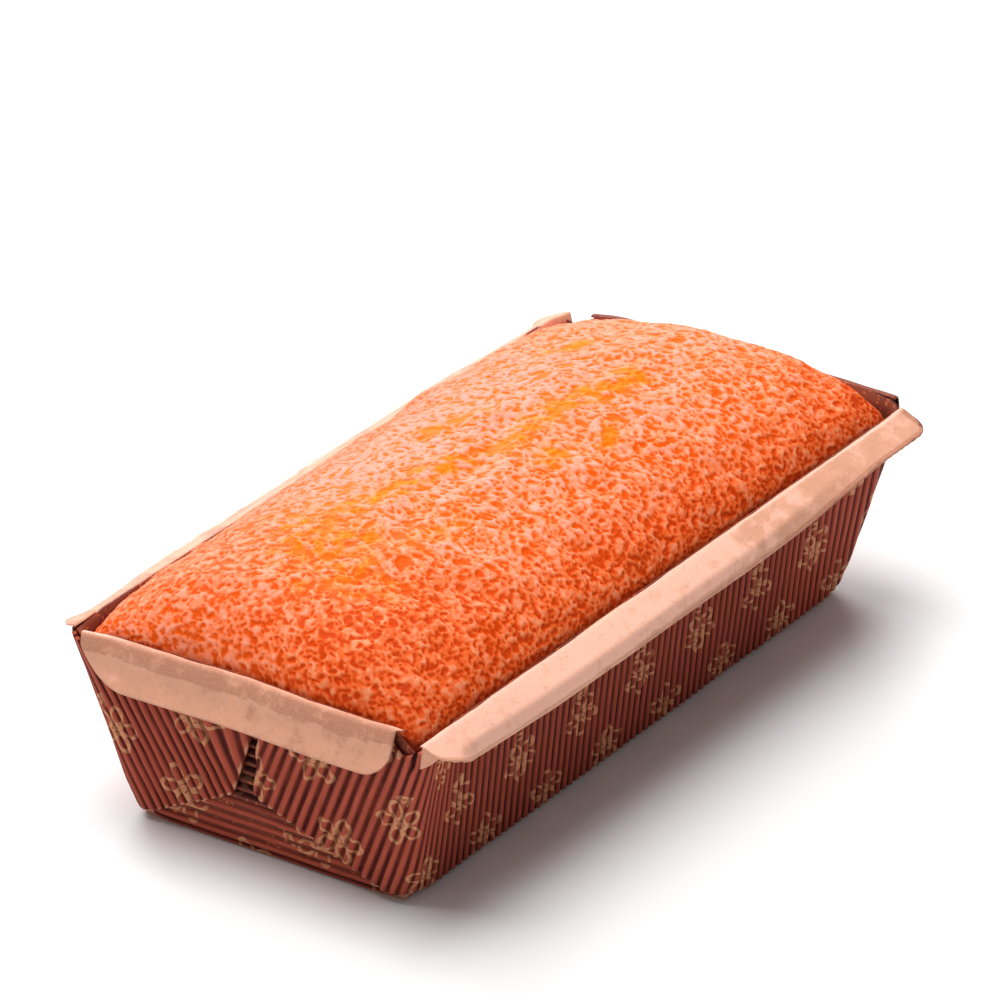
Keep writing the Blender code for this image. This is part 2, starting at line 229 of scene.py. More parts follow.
def half_sizes(case, z):
    """Half the outer length and width of the case at a height."""
    lean = z / case.height
    return case.half_length + case.end_flare * lean, case.half_width + case.side_flare * lean


def notch_depth(case, x, y):
    """How deep the rim is nicked at the corner of a place: deepest at the near one."""
    return case.notch_depth * (1.0 if x < 0 and y < 0 else 0.65 if x > 0 and y > 0 else 0.15)


def finish_piece(name, bm, materials, node):
    """Turns a bmesh into a piece that rides on the body and stands for a CAD node."""
    mesh = bpy.data.meshes.new(name)
    bm.to_mesh(mesh)
    bm.free()
    for material in materials:
        mesh.materials.append(material)
    mesh.shade_smooth()
    piece = bpy.data.objects.new(name, mesh)
    bpy.context.scene.collection.objects.link(piece)
    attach(piece, BODY)
    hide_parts(node)


def flat_grid(columns, rows):
    """A grid of one metre, from the origin along X and Y."""
    bm = bmesh.new()
    bmesh.ops.create_grid(bm, x_segments=columns, y_segments=rows, size=0.5)
    bmesh.ops.translate(bm, vec=(0.5, 0.5, 0), verts=bm.verts)
    return bm


def thicken(bm):
    """Doubles a flat grid into a closed board, and tells its two sides apart."""
    flat = bm.verts.layers.float_vector.new("flat")
    back = bm.verts.layers.int.new("back")
    for vert in bm.verts:
        vert[flat] = vert.co
    made = bmesh.ops.extrude_face_region(bm, geom=bm.faces[:])["geom"]
    for vert in made:
        if isinstance(vert, bmesh.types.BMVert):
            vert[back] = 1
    return flat, back


def finish_board(case, name, bm, flat, back, faces):
    """A board as a piece: faces outward, the flat sheet as UV map, slots for front, edge and back."""
    bmesh.ops.recalc_face_normals(bm, faces=bm.faces)
    sheet = bm.loops.layers.uv.new(FLAT)
    for face in bm.faces:
        sides = [vert[back] for vert in face.verts]
        kind = 0 if not any(sides) else 2 if all(sides) else 1
        face.material_index = faces[kind]
        for loop in face.loops:
            loop[sheet].uv = loop.vert[flat].xy
    finish_piece(name, bm, case_materials(case), "case")


def cut_outside(bm, start, end):
    """Cuts away what lies to the right of a line across a flat grid."""
    along = Vector(end) - Vector(start)
    bmesh.ops.bisect_plane(bm, geom=bm.verts[:] + bm.edges[:] + bm.faces[:], dist=1e-7,
                           plane_co=(start[0], start[1], 0), plane_no=(along.y, -along.x, 0),
                           clear_outer=True)


# --- shader helpers

class Graph:
    """Writes a node tree as short sums."""

    def __init__(self, tree):
        self.tree = tree

    def node(self, kind, **values):
        """A node with some of its own settings."""
        made = self.tree.nodes.new(kind)
        for name, value in values.items():
            setattr(made, name, value)
        return made

    def feed(self, socket, value):
        """Links a socket to another one, or sets it."""
        if isinstance(value, bpy.types.NodeSocket):
            self.tree.links.new(value, socket)
        elif value is not None:
            socket.default_value = value

    def math(self, operation, *values, clamp=False):
        """A Math node."""
        made = self.node("ShaderNodeMath", operation=operation, use_clamp=clamp)
        for socket, value in zip(made.inputs, values):
            self.feed(socket, value)
        return made.outputs[0]

    def plus(self, a, b, clamp=False):
        """A sum."""
        return self.math("ADD", a, b, clamp=clamp)

    def minus(self, a, b, clamp=False):
        """A difference."""
        return self.math("SUBTRACT", a, b, clamp=clamp)

    def times(self, a, b, clamp=False):
        """A product."""
        return self.math("MULTIPLY", a, b, clamp=clamp)

    def over(self, a, b):
        """A quotient."""
        return self.math("DIVIDE", a, b)

    def length(self, a, b):
        """The length of a vector of two parts."""
        return self.math("SQRT", self.plus(self.times(a, a), self.times(b, b)))

    def parts(self, vector):
        """The three parts of a vector."""
        made = self.node("ShaderNodeSeparateXYZ")
        self.feed(made.inputs[0], vector)
        return made.outputs

    def place(self):
        """Where a point of the piece lies."""
        return self.node("ShaderNodeTexCoord").outputs["Object"]

    def step(self, value, low, high, out_low=0.0, out_high=1.0):
        """A smooth step."""
        made = self.node("ShaderNodeMapRange", interpolation_type="SMOOTHSTEP")
        for socket, number in zip(made.inputs, (value, low, high, out_low, out_high)):
            self.feed(socket, number)
        return made.outputs[0]

    def mix(self, factor, a, b, blend="MIX"):
        """A colour between two others."""
        made = self.node("ShaderNodeMix", data_type="RGBA", blend_type=blend)
        self.feed(made.inputs[0], factor)
        self.feed(made.inputs[6], a)
        self.feed(made.inputs[7], b)
        return made.outputs[2]

    def noise(self, vector, scale, detail=2.0, roughness=0.5, distortion=0.0):
        """A noise from 0 to 1."""
        made = self.node("ShaderNodeTexNoise")
        for name, value in (("Vector", vector), ("Scale", scale), ("Detail", detail),
                            ("Roughness", roughness), ("Distortion", distortion)):
            self.feed(made.inputs[name], value)
        return made.outputs["Fac"]

    def stretch(self, vector, scale):
        """Scales a vector."""
        made = self.node("ShaderNodeMapping")
        self.feed(made.inputs["Vector"], vector)
        made.inputs["Scale"].default_value = scale
        return made.outputs[0]

    def attribute(self, name):
        """A number stored on the mesh."""
        return self.node("ShaderNodeAttribute", attribute_name=name).outputs["Fac"]

    def finish(self, shader, colour, roughness, specular, height, strength=0.3):
        """Feeds a shader its colour, its sheen and a relief of 0.2 mm."""
        made = self.node("ShaderNodeBump")
        made.inputs["Strength"].default_value = strength
        made.inputs["Distance"].default_value = 0.0002
        self.feed(made.inputs["Height"], height)
        for name, value in (("Base Color", colour), ("Roughness", roughness),
                            ("Specular IOR Level", specular), ("Normal", made.outputs[0])):
            self.feed(shader.inputs[name], value)

    def group(self, tree, **values):
        """A node group with values for its inputs."""
        made = self.node("ShaderNodeGroup", node_tree=tree)
        for name, value in values.items():
            self.feed(made.inputs[name.replace("_", " ")], value)
        return made.outputs


def rgba(values, shade=1.0):
    """A colour with its alpha, darkened or lightened."""
    return (*(c * shade for c in values), 1.0)


def new_group(name, inputs, outputs):
    """An empty node group with its sockets, and the graph to fill it with."""
    tree = bpy.data.node_groups.new(name, "ShaderNodeTree")
    for label, kind, default in inputs:
        socket = tree.interface.new_socket(name=label, in_out="INPUT", socket_type="NodeSocket" + kind)
        if default is not None:
            socket.default_value = default
    for label, kind in outputs:
        tree.interface.new_socket(name=label, in_out="OUTPUT", socket_type="NodeSocket" + kind)
    graph = Graph(tree)
    return tree, graph, graph.node("NodeGroupInput").outputs, graph.node("NodeGroupOutput").inputs


def new_material(name):
    """A Principled material, its graph and its shader."""
    material = bpy.data.materials.new(name)
    material.use_nodes = True
    graph = Graph(material.node_tree)
    return material, graph, material.node_tree.nodes["Principled BSDF"]


def flower_group():
    """Line-drawn five-petalled flowers with a sprig and a bud, every other row upside down."""
    tree, g, given, out = new_group(
        "flower_print",
        (("Sheet", "Vector", None), ("Pitch", "Float", 0.0272), ("Row", "Float", 0.0200),
         ("Size", "Float", 0.0068), ("Line", "Float", 0.050)),
        (("Mask", "Float"),))
    along, up, _ = g.parts(given["Sheet"])
    row = g.plus(g.over(up, given["Row"]), 0.22)
    odd = g.math("MODULO", g.math("ABSOLUTE", g.math("FLOOR", row)), 2.0)
    flip = g.minus(1.0, g.times(odd, 2.0))
    column = g.plus(g.over(along, given["Pitch"]), g.times(odd, 0.5))
    x = g.times(g.minus(g.math("FRACT", column), 0.5), g.over(given["Pitch"], given["Size"]))
    y = g.times(g.minus(g.math("FRACT", row), 0.5), g.over(given["Row"], given["Size"]))
    x = g.times(x, flip)
    y = g.times(y, flip)
    line = given["Line"]

    def stroke(distance):
        """A line of ink where a distance is near 0."""
        return g.step(g.math("ABSOLUTE", distance), line, g.times(line, 1.5), 1.0, 0.0)

    def oval(at_x, at_y, middle, radii, degrees):
        """The outline of an oval."""
        turn = math.radians(degrees)
        dx, dy = g.minus(at_x, middle[0]), g.minus(at_y, middle[1])
        u = g.plus(g.times(dx, math.cos(turn) / radii[0]), g.times(dy, math.sin(turn) / radii[0]))
        v = g.minus(g.times(dy, math.cos(turn) / radii[1]), g.times(dx, math.sin(turn) / radii[1]))
        return stroke(g.times(g.minus(g.length(u, v), 1.0), min(radii)))

    up = g.minus(y, 0.10)
    away = g.length(x, up)
    turn = g.over(g.math("ARCTAN2", x, up), TAU / 5)
    sector = g.times(g.minus(g.math("FRACT", g.plus(turn, 0.5)), 0.5), TAU / 5)
    petal_x = g.times(away, g.math("COSINE", sector))
    petal_y = g.times(away, g.math("SINE", sector))
    bent = g.times(g.math("POWER", g.plus(y, 0.85), 2.0), 0.35)
    reach = g.times(g.math("GREATER_THAN", y, -1.45), g.math("LESS_THAN", y, -0.85))
    stem = g.times(stroke(g.plus(x, bent)), reach)
    mask = oval(petal_x, petal_y, (0.62, 0.0), (0.38, 0.27), 0)
    eye = oval(x, up, (0.0, 0.0), (0.07, 0.07), 0)
    bud = oval(x, y, (0.22, -1.16), (0.27, 0.12), 35)
    for extra in (eye, bud, stem):
        mask = g.math("MAXIMUM", mask, extra)
    g.feed(out["Mask"], mask)
    return tree


def fibre_group():
    """Fine fibres and specks of unbleached paper, as a height and as specks of colour."""
    tree, g, given, out = new_group(
        "paper_fibres", (("Vector", "Vector", None), ("Scale", "Float", 1.0)),
        (("Height", "Float"), ("Mottle", "Float"), ("Specks", "Float")))
    scaled = g.node("ShaderNodeVectorMath", operation="SCALE")
    g.feed(scaled.inputs[0], given["Vector"])
    g.feed(scaled.inputs["Scale"], given["Scale"])
    spot = scaled.outputs[0]
    long_way = g.noise(g.stretch(spot, (260, 1500, 1500)), 1.0, 3.0, 0.6)
    cross_way = g.noise(g.stretch(spot, (1500, 320, 1500)), 1.0, 3.0, 0.6)
    g.feed(out["Height"], g.plus(long_way, g.times(cross_way, 0.7)))
    g.feed(out["Mottle"], g.noise(spot, 120.0, 5.0, 0.62))
    g.feed(out["Specks"], g.step(g.noise(spot, 900.0, 2.0, 0.5), 0.64, 0.74))
    return tree


def printed_board(case, flowers, fibres):
    """Brown printed flutes: dark in the valleys, partly from ink and partly as painted shade, worn at cut
    edges, with painted shade where the mesh marks it, and with pale gold flowers.
    """
    material, g, shader = new_material("printed_board")
    sheet = g.node("ShaderNodeUVMap", uv_map=FLAT).outputs[0]
    turn = g.times(g.parts(sheet)[0], TAU / case.flute_pitch)
    crest = g.plus(g.times(g.math("COSINE", turn), 0.5), 0.5)
    where = g.place()
    paper = g.group(fibres, Vector=where)
    streaks = g.noise(g.stretch(sheet, (1400, 60, 1)), 1.0, 3.0, 0.6)
    shade = g.times(g.step(crest, 0.04, 0.80), g.plus(g.times(streaks, 0.7), 0.52))
    # The valley colour is partly ink and partly painted shade.
    brown_and_shade = g.mix(shade, rgba(case.valley_ink_and_shade), rgba(case.board))
    brown_and_shade = g.mix(g.step(paper["Mottle"], 0.35, 0.75, 0.0, 0.35), brown_and_shade, rgba(case.board, 0.62))
    # Painted shade: negative wear values darken the brown in the near corner's crease, in the gap between
    # the flaps and across the middle of the near wall; positive ones are real wear.
    brown_and_shade = g.mix(g.step(g.attribute(WEAR_AND_LIGHT), -1.0, 0.0, 0.98, 0.0), brown_and_shade, rgba(case.valley_ink_and_shade, 0.25))
    ink = g.group(flowers, Sheet=sheet)["Mask"]
    broken = g.noise(g.stretch(sheet, (900, 700, 1)), 1.0, 2.0, 0.6)
    ink = g.times(ink, g.step(crest, 0.10, 0.55, 0.35, 1.0))
    # The print fades in that painted shade as well.
    ink = g.times(ink, g.step(g.attribute(WEAR_AND_LIGHT), -0.8, -0.1, 0.1, 1.0))
    ink = g.times(ink, g.step(broken, 0.30, 0.52, 0.35, 1.0))
    inked = g.mix(g.times(ink, 0.85), brown_and_shade, rgba(case.print_ink))
    worn = g.plus(g.attribute(WEAR_AND_LIGHT), g.times(paper["Mottle"], 0.55))
    worn = g.times(g.step(worn, 0.98, 1.22), g.step(crest, 0.3, 0.9))
    g.finish(shader, g.mix(worn, inked, rgba(case.kraft, 0.8)),
             g.step(paper["Mottle"], 0.3, 0.8, 0.52, 0.74), 0.05, g.plus(streaks, paper["Height"]), 0.25)
    return material


def kraft_paper(case, fibres):
    """Plain kraft of the rim: pale salmon tan, rubbed paler in patches and darker in others, with painted
    highlight and sheen at folds and tops, painted shade in bands next to folds, soaked with fat in places,
    and with specks.
    """
    material, g, shader = new_material("kraft_paper")
    where = g.place()
    paper = g.group(fibres, Vector=where)
    mottle = paper["Mottle"]
    tone = g.mix(g.step(mottle, 0.3, 0.7), rgba(case.kraft, 0.90), rgba(case.kraft))
    # The strip's tone mixes real rubbing and fat stains with painted light: above zero painted sheen and
    # highlight, far above a painted white highlight, below zero painted shade, far below a fat stain.
    rubbed_and_lit = g.plus(g.attribute(WEAR_AND_LIGHT), g.times(g.minus(mottle, 0.5), 2.2))
    tone = g.mix(g.step(rubbed_and_lit, 0.10, 0.55), tone, rgba(case.rubbed_and_lit))
    tone = g.mix(g.step(rubbed_and_lit, 1.70, 2.30), tone, rgba(case.bleach_and_highlight))
    tone = g.mix(g.step(rubbed_and_lit, -0.70, -0.35, 1.0, 0.0), tone, rgba(case.shaded))
    patch = g.step(g.noise(where, 210.0, 4.0, 0.7), 0.56, 0.62)
    tone = g.mix(g.times(patch, 0.45), tone, rgba(case.kraft))
    tone = g.mix(g.step(rubbed_and_lit, -2.0, -1.4, 1.0, 0.0), tone, rgba(case.stain, 1.5))
    tone = g.mix(g.times(paper["Specks"], 0.40), tone, rgba((0.46, 0.20, 0.14)))
    fine = g.noise(where, 2600.0, 2.0, 0.5)
    tone = g.mix(g.step(fine, 0.35, 0.7, 0.0, 0.16), tone, rgba((0.95, 0.72, 0.62)))
    g.finish(shader, tone, 0.62, g.step(rubbed_and_lit, -2.0, -1.4, 0.04, 0.5), paper["Height"])
    return material


def stained_liner(case, fibres):
    """Kraft inside the case: soaked dark with fat, and dry in patches near the rim."""
    material, g, shader = new_material("stained_liner")
    where = g.place()
    paper = g.group(fibres, Vector=where)
    blotch = g.noise(where, 45.0, 4.0, 0.6)
    height = g.over(g.parts(where)[2], case.height)
    dry = g.plus(blotch, g.times(g.step(height, 0.90, 1.0), 0.22))
    dry = g.step(dry, 0.62, 0.76)
    tone = g.mix(g.step(paper["Mottle"], 0.3, 0.7), rgba(case.stain), rgba(case.stain, 1.5))
    tone = g.mix(dry, tone, rgba((0.25, 0.055, 0.025)))
    crumbs = g.step(g.noise(where, 700.0, 2.0, 0.5), 0.60, 0.66, 0.0, 0.75)
    tone = g.mix(crumbs, tone, rgba((0.62, 0.13, 0.035)))
    g.finish(shader, tone, g.step(dry, 0.0, 1.0, 0.55, 0.8), 0.2, paper["Height"])
    return material


def crust(cake):
    """Baked crust: moist orange pits in dry crumb, golden in spots, paler at the far side as painted sheen,
    browned at the case and more on the near side as painted shade, and at the very edge partly burnt and
    partly a painted shadow.
    """
    material, g, shader = new_material("baked_crust")
    where = g.place()
    fine = g.noise(where, 1050.0, 2.0, 0.5)
    patch = g.noise(where, 60.0, 4.0, 0.6)
    broad = g.noise(where, 190.0, 3.0, 0.6)
    high = g.plus(g.attribute(RELIEF), g.times(g.minus(fine, 0.5), 0.40))
    high = g.plus(high, g.times(g.minus(broad, 0.5), 0.40))
    above = g.step(high, 0.24, 0.66)
    dry = g.step(high, 0.58, 1.16)
    golden = g.attribute(GOLD)
    # Painted sheen: paler crust towards the far side.
    painted_sheen = g.plus(g.attribute(PAINTED_SHEEN), g.times(g.minus(patch, 0.5), 0.7), clamp=True)
    edge = g.attribute(EDGE)
    # Browning at the case with painted shade on the near side; above 1 the burnt colour, partly a painted
    # shadow along the case.
    brown_and_shade = g.times(edge, g.step(patch, 0.25, 0.75, 0.80, 1.0), clamp=True)
    burnt_and_shadow = g.minus(edge, 1.0, clamp=True)

    def tone(plain, light, gold, dark):
        """A colour of the four, by place."""
        base = g.mix(golden, g.mix(painted_sheen, rgba(plain), rgba(light)), rgba(gold))
        return g.mix(burnt_and_shadow, g.mix(brown_and_shade, base, rgba(dark)), rgba(cake.burnt_and_shadow))

    low = tone(cake.pit, cake.sheen_pit, cake.golden_pit, cake.browned_shaded_pit)
    middle = tone(cake.crumb, cake.sheen_crumb, cake.golden, cake.browned_and_shaded)
    top = tone(cake.peak, cake.sheen_peak, cake.golden_peak, cake.browned_shaded_peak)
    for name, value in (("Weight", 0.06), ("Radius", (0.9, 0.35, 0.10)), ("Scale", 0.0008)):
        shader.inputs["Subsurface " + name].default_value = value
    g.finish(shader, g.mix(dry, g.mix(above, low, middle), top), g.step(high, 0.2, 0.8, 0.55, 0.80), 0.08,
             fine, 0.5)
    return material


def shared_group(name, build):
    """A node group that is built once."""
    return bpy.data.node_groups.get(name) or build()


def case_materials(case):
    """Printed board, plain kraft and stained liner, built once."""
    if "printed_board" not in bpy.data.materials:
        fibres = shared_group("paper_fibres", fibre_group)
        flowers = shared_group("flower_print", flower_group)
        printed_board(case, flowers, fibres)
        kraft_paper(case, fibres)
        stained_liner(case, fibres)
    return [bpy.data.materials[n] for n in ("printed_board", "kraft_paper", "stained_liner")]


# --- the folded sheet

class Fold:
    """One long wall as a flat sheet, and the folds that take it round the corners of the case.

    On the sheet, s runs along the loaf and t up the wall. Past a corner's line the sheet turns
    about that line and lies against the end. The wall is the one at -Y; the other is turned.
    """

    def __init__(self, case):
        self.case = case
        self.slope = math.hypot(case.height, case.side_flare)
        self.end_slope = math.hypot(case.height, case.end_flare)
        self.corner = Vector((-case.half_length - case.flap_lift, 0.0))
        self.ridge = Vector((-case.end_flare, self.slope)).normalized()
        self.beyond = Vector((-self.ridge.y, self.ridge.x))
        self.wall_up = Vector((0, -case.side_flare, case.height)).normalized()
        self.wall_out = Vector((1, 0, 0)).cross(self.wall_up)
        lean = math.atan2(case.end_flare, case.height)
        self.end_out = Vector((-math.cos(lean), 0, -math.sin(lean)))
        self.end_up = Vector((-math.sin(lean), 0, math.cos(lean)))
        self.origin = Vector((self.corner.x, -case.half_width, 0))
        self.ridge3 = Vector((1, 0, 0)) * self.ridge.x + self.wall_up * self.ridge.y
        self.beyond3 = Vector((1, 0, 0)) * self.beyond.x + self.wall_up * self.beyond.y
        self.turn = self.wall_out.angle(self.end_out)
        self.tangent = case.corner * math.tan(self.turn / 2)
        self.arc = case.corner * self.turn
        self.away = self.end_out.cross(self.ridge3)
        if self.away.y < 0:
            self.away.negate()

    def past(self, s, t):
        """How far a point of the sheet lies past the near corner's line, and along that line."""
        point = Vector((s, t)) - self.corner
        return point.dot(self.beyond), point.dot(self.ridge)

    def place(self, s, t):
        """Where a point of the sheet ends up, its outward normal and how far past the corner it is."""
        flip = s > 0
        d, along = self.past(-abs(s), t)
        start = self.origin + self.ridge3 * along
        if d < -self.tangent:
            point, normal = start + self.beyond3 * d, self.wall_out.copy()
        elif d < self.arc - self.tangent:
            turned = (d + self.tangent) / self.case.corner
            normal = self.wall_out * math.cos(turned) + self.beyond3 * math.sin(turned)
            middle = start - self.beyond3 * self.tangent - self.wall_out * self.case.corner
            point = middle + normal * self.case.corner
        else:
            point = start + self.away * (d + 2 * self.tangent - self.arc)
            normal = self.end_out.copy()
        if flip:
            point.x, normal.x = -point.x, -normal.x
        return point, normal, d

    def flap_point(self, across, up):
        """Where a point of the near end's face, as fractions from this wall's corner, is on the sheet."""
        case = self.case
        half = case.half_width + case.side_flare * up
        point = Vector((-case.half_length, -half * (1 - 2 * across), 0)) + self.end_up * self.end_slope * up
        point += self.end_out * case.flap_lift
        point -= self.origin
        past = point.dot(self.away) - 2 * self.tangent + self.arc
        return self.corner + self.beyond * past + self.ridge * point.dot(self.ridge3)


RIGHT_FLAP = ((0.0, 0.0), (0.526, 0.372), (0.492, 0.65), (0.47, 0.94), (0.0, 0.94))
LEFT_FLAP = ((0.0, 0.0), (0.412, 0.335), (0.488, 0.667), (0.51, 0.94), (0.0, 0.94))
SEGMENTS = 8
WALL_ROWS = 20
SHEET_REACH = 0.165
TOP_GAP = 0.0016
LOW_ROWS = 0.35
# Negative wear values are painted shade: across the middle of the near wall, and in the crease at the near
# corner.
WALL_MIDDLE_SHADE = -0.34
CREASE_PLACE, CREASE_HALF_WIDTH, CREASE_DEPTH, CREASE_SHADE = 0.0011, 0.0010, 0.0006, -1.2
FLAP_EDGE_WEAR = 0.0026
PANEL_INSET, PANEL_HEIGHT, PANEL_DROP = 0.0060, 0.95, 0.0085
FLOOR_INSET = 0.0024
LINER_NICK, LINER_NICK_REACH = 1.8, 0.0130
INSIDE_CORNER = 0.0026
# Tones of the rim: a painted white highlight, and kraft soaked with fat.
HIGHLIGHT_TONE, SOAKED = 2.6, -2.6


def flute_lean(u, turned):
    """How far the flutes lean on the sheet, as a tangent: along the walls, and past a crease."""
    wall = math.tan(math.radians(13)) * smooth(-0.114, -0.078, u) * (1 - smooth(0.078, 0.120, u))
    if turned:
        return -wall - math.tan(math.radians(15)) * smooth(0.137, 0.146, u)
    return wall


def flute(case, across, depth=None):
    """How deep the sheet lies below its crests at a place across the flutes."""
    depth = case.flute_depth if depth is None else depth
    return 0.5 * depth * (1 - math.cos(TAU * across / case.flute_pitch))


def tucked(case, height):
    """How far the sheet draws in at its fold at the base, at a height."""
    low = max(0.0, case.base_round - height)
    return case.base_round - math.sqrt(max(0.0, case.base_round ** 2 - low ** 2))


def top_dip(case, depth, d):
    """How much of the sheet's top is nicked away at a distance from the nick's middle."""
    return depth * max(0.0, 1 - abs(d) / (case.notch_reach * (0.62 if d > 0 else 1.0)))


def long_wall(case, name, turned, seed):
    """A long wall with its two end flaps: one fluted sheet, folded."""
    fold = Fold(case)
    flutes = math.ceil(SHEET_REACH / case.flute_pitch)
    reach = flutes * case.flute_pitch
    bm = flat_grid(2 * flutes * SEGMENTS, WALL_ROWS)
    across = bm.verts.layers.float.new(ACROSS)
    for vert in bm.verts:
        u = (2 * vert.co.x - 1) * reach
        t = (fold.slope - TOP_GAP) * (LOW_ROWS * vert.co.y ** 2 + (1 - LOW_ROWS) * vert.co.y)
        vert[across] = u
        vert.co.x = u - t * flute_lean(u, turned)
        vert.co.y = t
    for outline, flip in ((RIGHT_FLAP, 1), (LEFT_FLAP, -1)):
        points = [fold.flap_point(*p) for p in outline]
        for a, b in zip(points, points[1:]):
            a, b = Vector((a.x * flip, a.y)), Vector((b.x * flip, b.y))
            if flip > 0:
                a, b = b, a
            cut_outside(bm, a, b)
    flat, back = thicken(bm)
    wear_and_light = bm.verts.layers.float.new(WEAR_AND_LIGHT)
    edges = [[fold.flap_point(*p) for p in RIGHT_FLAP], [fold.flap_point(*p) for p in LEFT_FLAP]]
    for vert in bm.verts:
        s, t, _ = vert[flat]
        u = vert[across]
        d, _ = fold.past(-abs(s), t)
        nick = notch_depth(case, -s if turned else s, 1 if turned else -1)
        high = t / fold.slope
        from_nick = d - (fold.arc / 2 - fold.tangent) - case.notch_shift
        dip = top_dip(case, nick, from_nick) * smooth(0.55, 1.0, high)
        if nick < 0.5 * case.notch_depth:
            dip -= 0.8 * TOP_GAP * smooth(0.0090, 0.0030, abs(d)) * smooth(0.8, 1.0, high)
        point, normal, d = fold.place(s, t - dip)
        on_flap = smooth(-fold.tangent, fold.arc, d)
        shift = 0.00022 * rough(s, t, 0.011, seed) + 0.00012 * rough(s, t, 0.004, seed + 5)
        if vert[back]:
            thin = max(on_flap, smooth(0.012, 0.003, abs(d)) * smooth(0.55, 0.8, high))
            depth = case.wall + (case.flap - case.wall) * thin
        else:
            plain = 0.8 * smooth(0.0090, 0.0020, abs(d + 0.0010))
            depth = flute(case, u) * (1 - plain) * (1 + 0.22 * rough(u, t, 0.006, seed + 9))
        depth += 0.0003 * rough(s, t, 0.03, seed + 3) * (1 - on_flap) - shift * on_flap
        depth += tucked(case, point.z)
        crease = 0.0
        if not turned and s < 0:
            half = CREASE_HALF_WIDTH * smooth(0.72, 0.98, high) + 1e-6
            crease = smooth(1.2, 0.4, abs(d - CREASE_PLACE) / half)
        point -= normal * (depth + CREASE_DEPTH * crease)
        point.z = max(0.0, point.z)
        # Painted shade, stored as negative wear: in the crease at the near corner, and across the middle of
        # the near wall.
        vert[wear_and_light] = CREASE_SHADE * crease
        if not turned and crease == 0 and d < -0.004:
            vert[wear_and_light] = WALL_MIDDLE_SHADE * smooth(-0.114, -0.085, s) * smooth(0.095, 0.050, s)
        if on_flap > 0 and vert[wear_and_light] == 0:
            line = edges[0 if s < 0 else 1]
            near = min(distance_to(Vector((-abs(s), t)), a, b) for a, b in zip(line, line[1:]))
            vert[wear_and_light] = on_flap * smooth(FLAP_EDGE_WEAR, 0.0, near)
        vert[flat] = (u, t, 0)
        vert.co = settle(case, point) if not turned else settle(case, Vector((-point.x, -point.y, point.z)))
    finish_board(case, name, bm, flat, back, (0, 0, 2))


def distance_to(point, a, b):
    """Distance of a point from a line between two others."""
    along = b - a
    t = max(0.0, min(1.0, (point - a).dot(along) / along.length_squared))
    return (point - a - along * t).length


def end_panel(case, name, turned, seed):
    """The floor's own flap, which stands up at an end with its flutes level."""
    fold = Fold(case)
    rows = math.floor(PANEL_HEIGHT * fold.end_slope / case.flute_pitch) * SEGMENTS
    top = rows / SEGMENTS * case.flute_pitch
    bm = flat_grid(30, rows)
    for vert in bm.verts:
        up = vert.co.y
        half = case.half_width + case.side_flare * up * top / fold.end_slope - PANEL_INSET
        vert.co = ((2 * vert.co.x - 1) * half, up * top, 0)
    flat, back = thicken(bm)
    wear_and_light = bm.verts.layers.float.new(WEAR_AND_LIGHT)
    sheet_edge = case.half_length - case.half_length % case.flute_pitch
    for vert in bm.verts:
        across, up, _ = vert[flat]
        cut = smooth(0.014, 0.0, case.half_width + case.side_flare - abs(across))
        up -= PANEL_DROP * cut * smooth(0.6, 1.0, up / top)
        depth = case.flute_depth + case.end_wall * 0.5 if vert[back] else flute(case, up)
        depth += 0.00015 * rough(across, up, 0.012, seed)
        lift = 0.0002 - depth - tucked(case, up)
        point = Vector((-case.half_length, across, 0)) + fold.end_up * up + fold.end_out * lift
        point.z = max(0.0, point.z)
        if turned:
            point.x, point.y = -point.x, -point.y
        # Painted shade on the upper middle of the panel, where it shows through the gap between the flaps.
        vert[wear_and_light] = -smooth(0.22, 0.40, up / top) * smooth(0.024, 0.010, abs(across - 0.004))
        vert[flat] = (sheet_edge + up, across, 0)
        vert.co = settle(case, point)
    finish_board(case, name, bm, flat, back, (0, 0, 2))


def floor_panel(case, name):
    """The floor, with its flutes across the loaf on the underside."""
    flutes = math.floor(case.half_length / case.flute_pitch)
    bm = flat_grid(2 * flutes * SEGMENTS, 6)
    half_x, half_y = flutes * case.flute_pitch, case.half_width - FLOOR_INSET
    for vert in bm.verts:
        vert.co = ((2 * vert.co.x - 1) * half_x, (2 * vert.co.y - 1) * half_y, 0)
    flat, back = thicken(bm)
    for vert in bm.verts:
        s, t, _ = vert[flat]
        height = case.floor if vert[back] else flute(case, s)
        vert.co = (s, t, height)
    finish_board(case, name, bm, flat, back, (0, 1, 2))


# --- liner and rim

def inside_point(case, turn, up, offset=0.0):
    """A point of the inner wall: turn runs once round the case, up is a fraction of its height."""
    z = case.floor + (case.height - case.floor) * up
    half_x, half_y = half_sizes(case, z)
    half_x, half_y = half_x - case.end_wall - offset, half_y - case.wall - offset
    radius = INSIDE_CORNER
    run = [2 * (half_x - radius), radius * math.pi / 2, 2 * (half_y - radius), radius * math.pi / 2]
    left = turn % 1.0 * 2 * sum(run)
    half = left >= sum(run)
    left -= sum(run) * half
    if left < run[0]:
        x, y = -half_x + radius + left, -half_y
    elif left < run[0] + run[1]:
        a = (left - run[0]) / radius
        x, y = half_x - radius + radius * math.sin(a), -half_y + radius - radius * math.cos(a)
    elif left < run[0] + run[1] + run[2]:
        x, y = half_x, -half_y + radius + left - run[0] - run[1]
    else:
        a = (left - run[0] - run[1] - run[2]) / radius
        x, y = half_x - radius + radius * math.cos(a), half_y - radius + radius * math.sin(a)
    return Vector((-x, -y, z)) if half else Vector((x, y, z))


def corner_nearness(case, point):
    """Distance from the nearest vertical corner of the case."""
    half_x, half_y = half_sizes(case, point.z)
    return math.hypot(half_x - abs(point.x), half_y - abs(point.y))


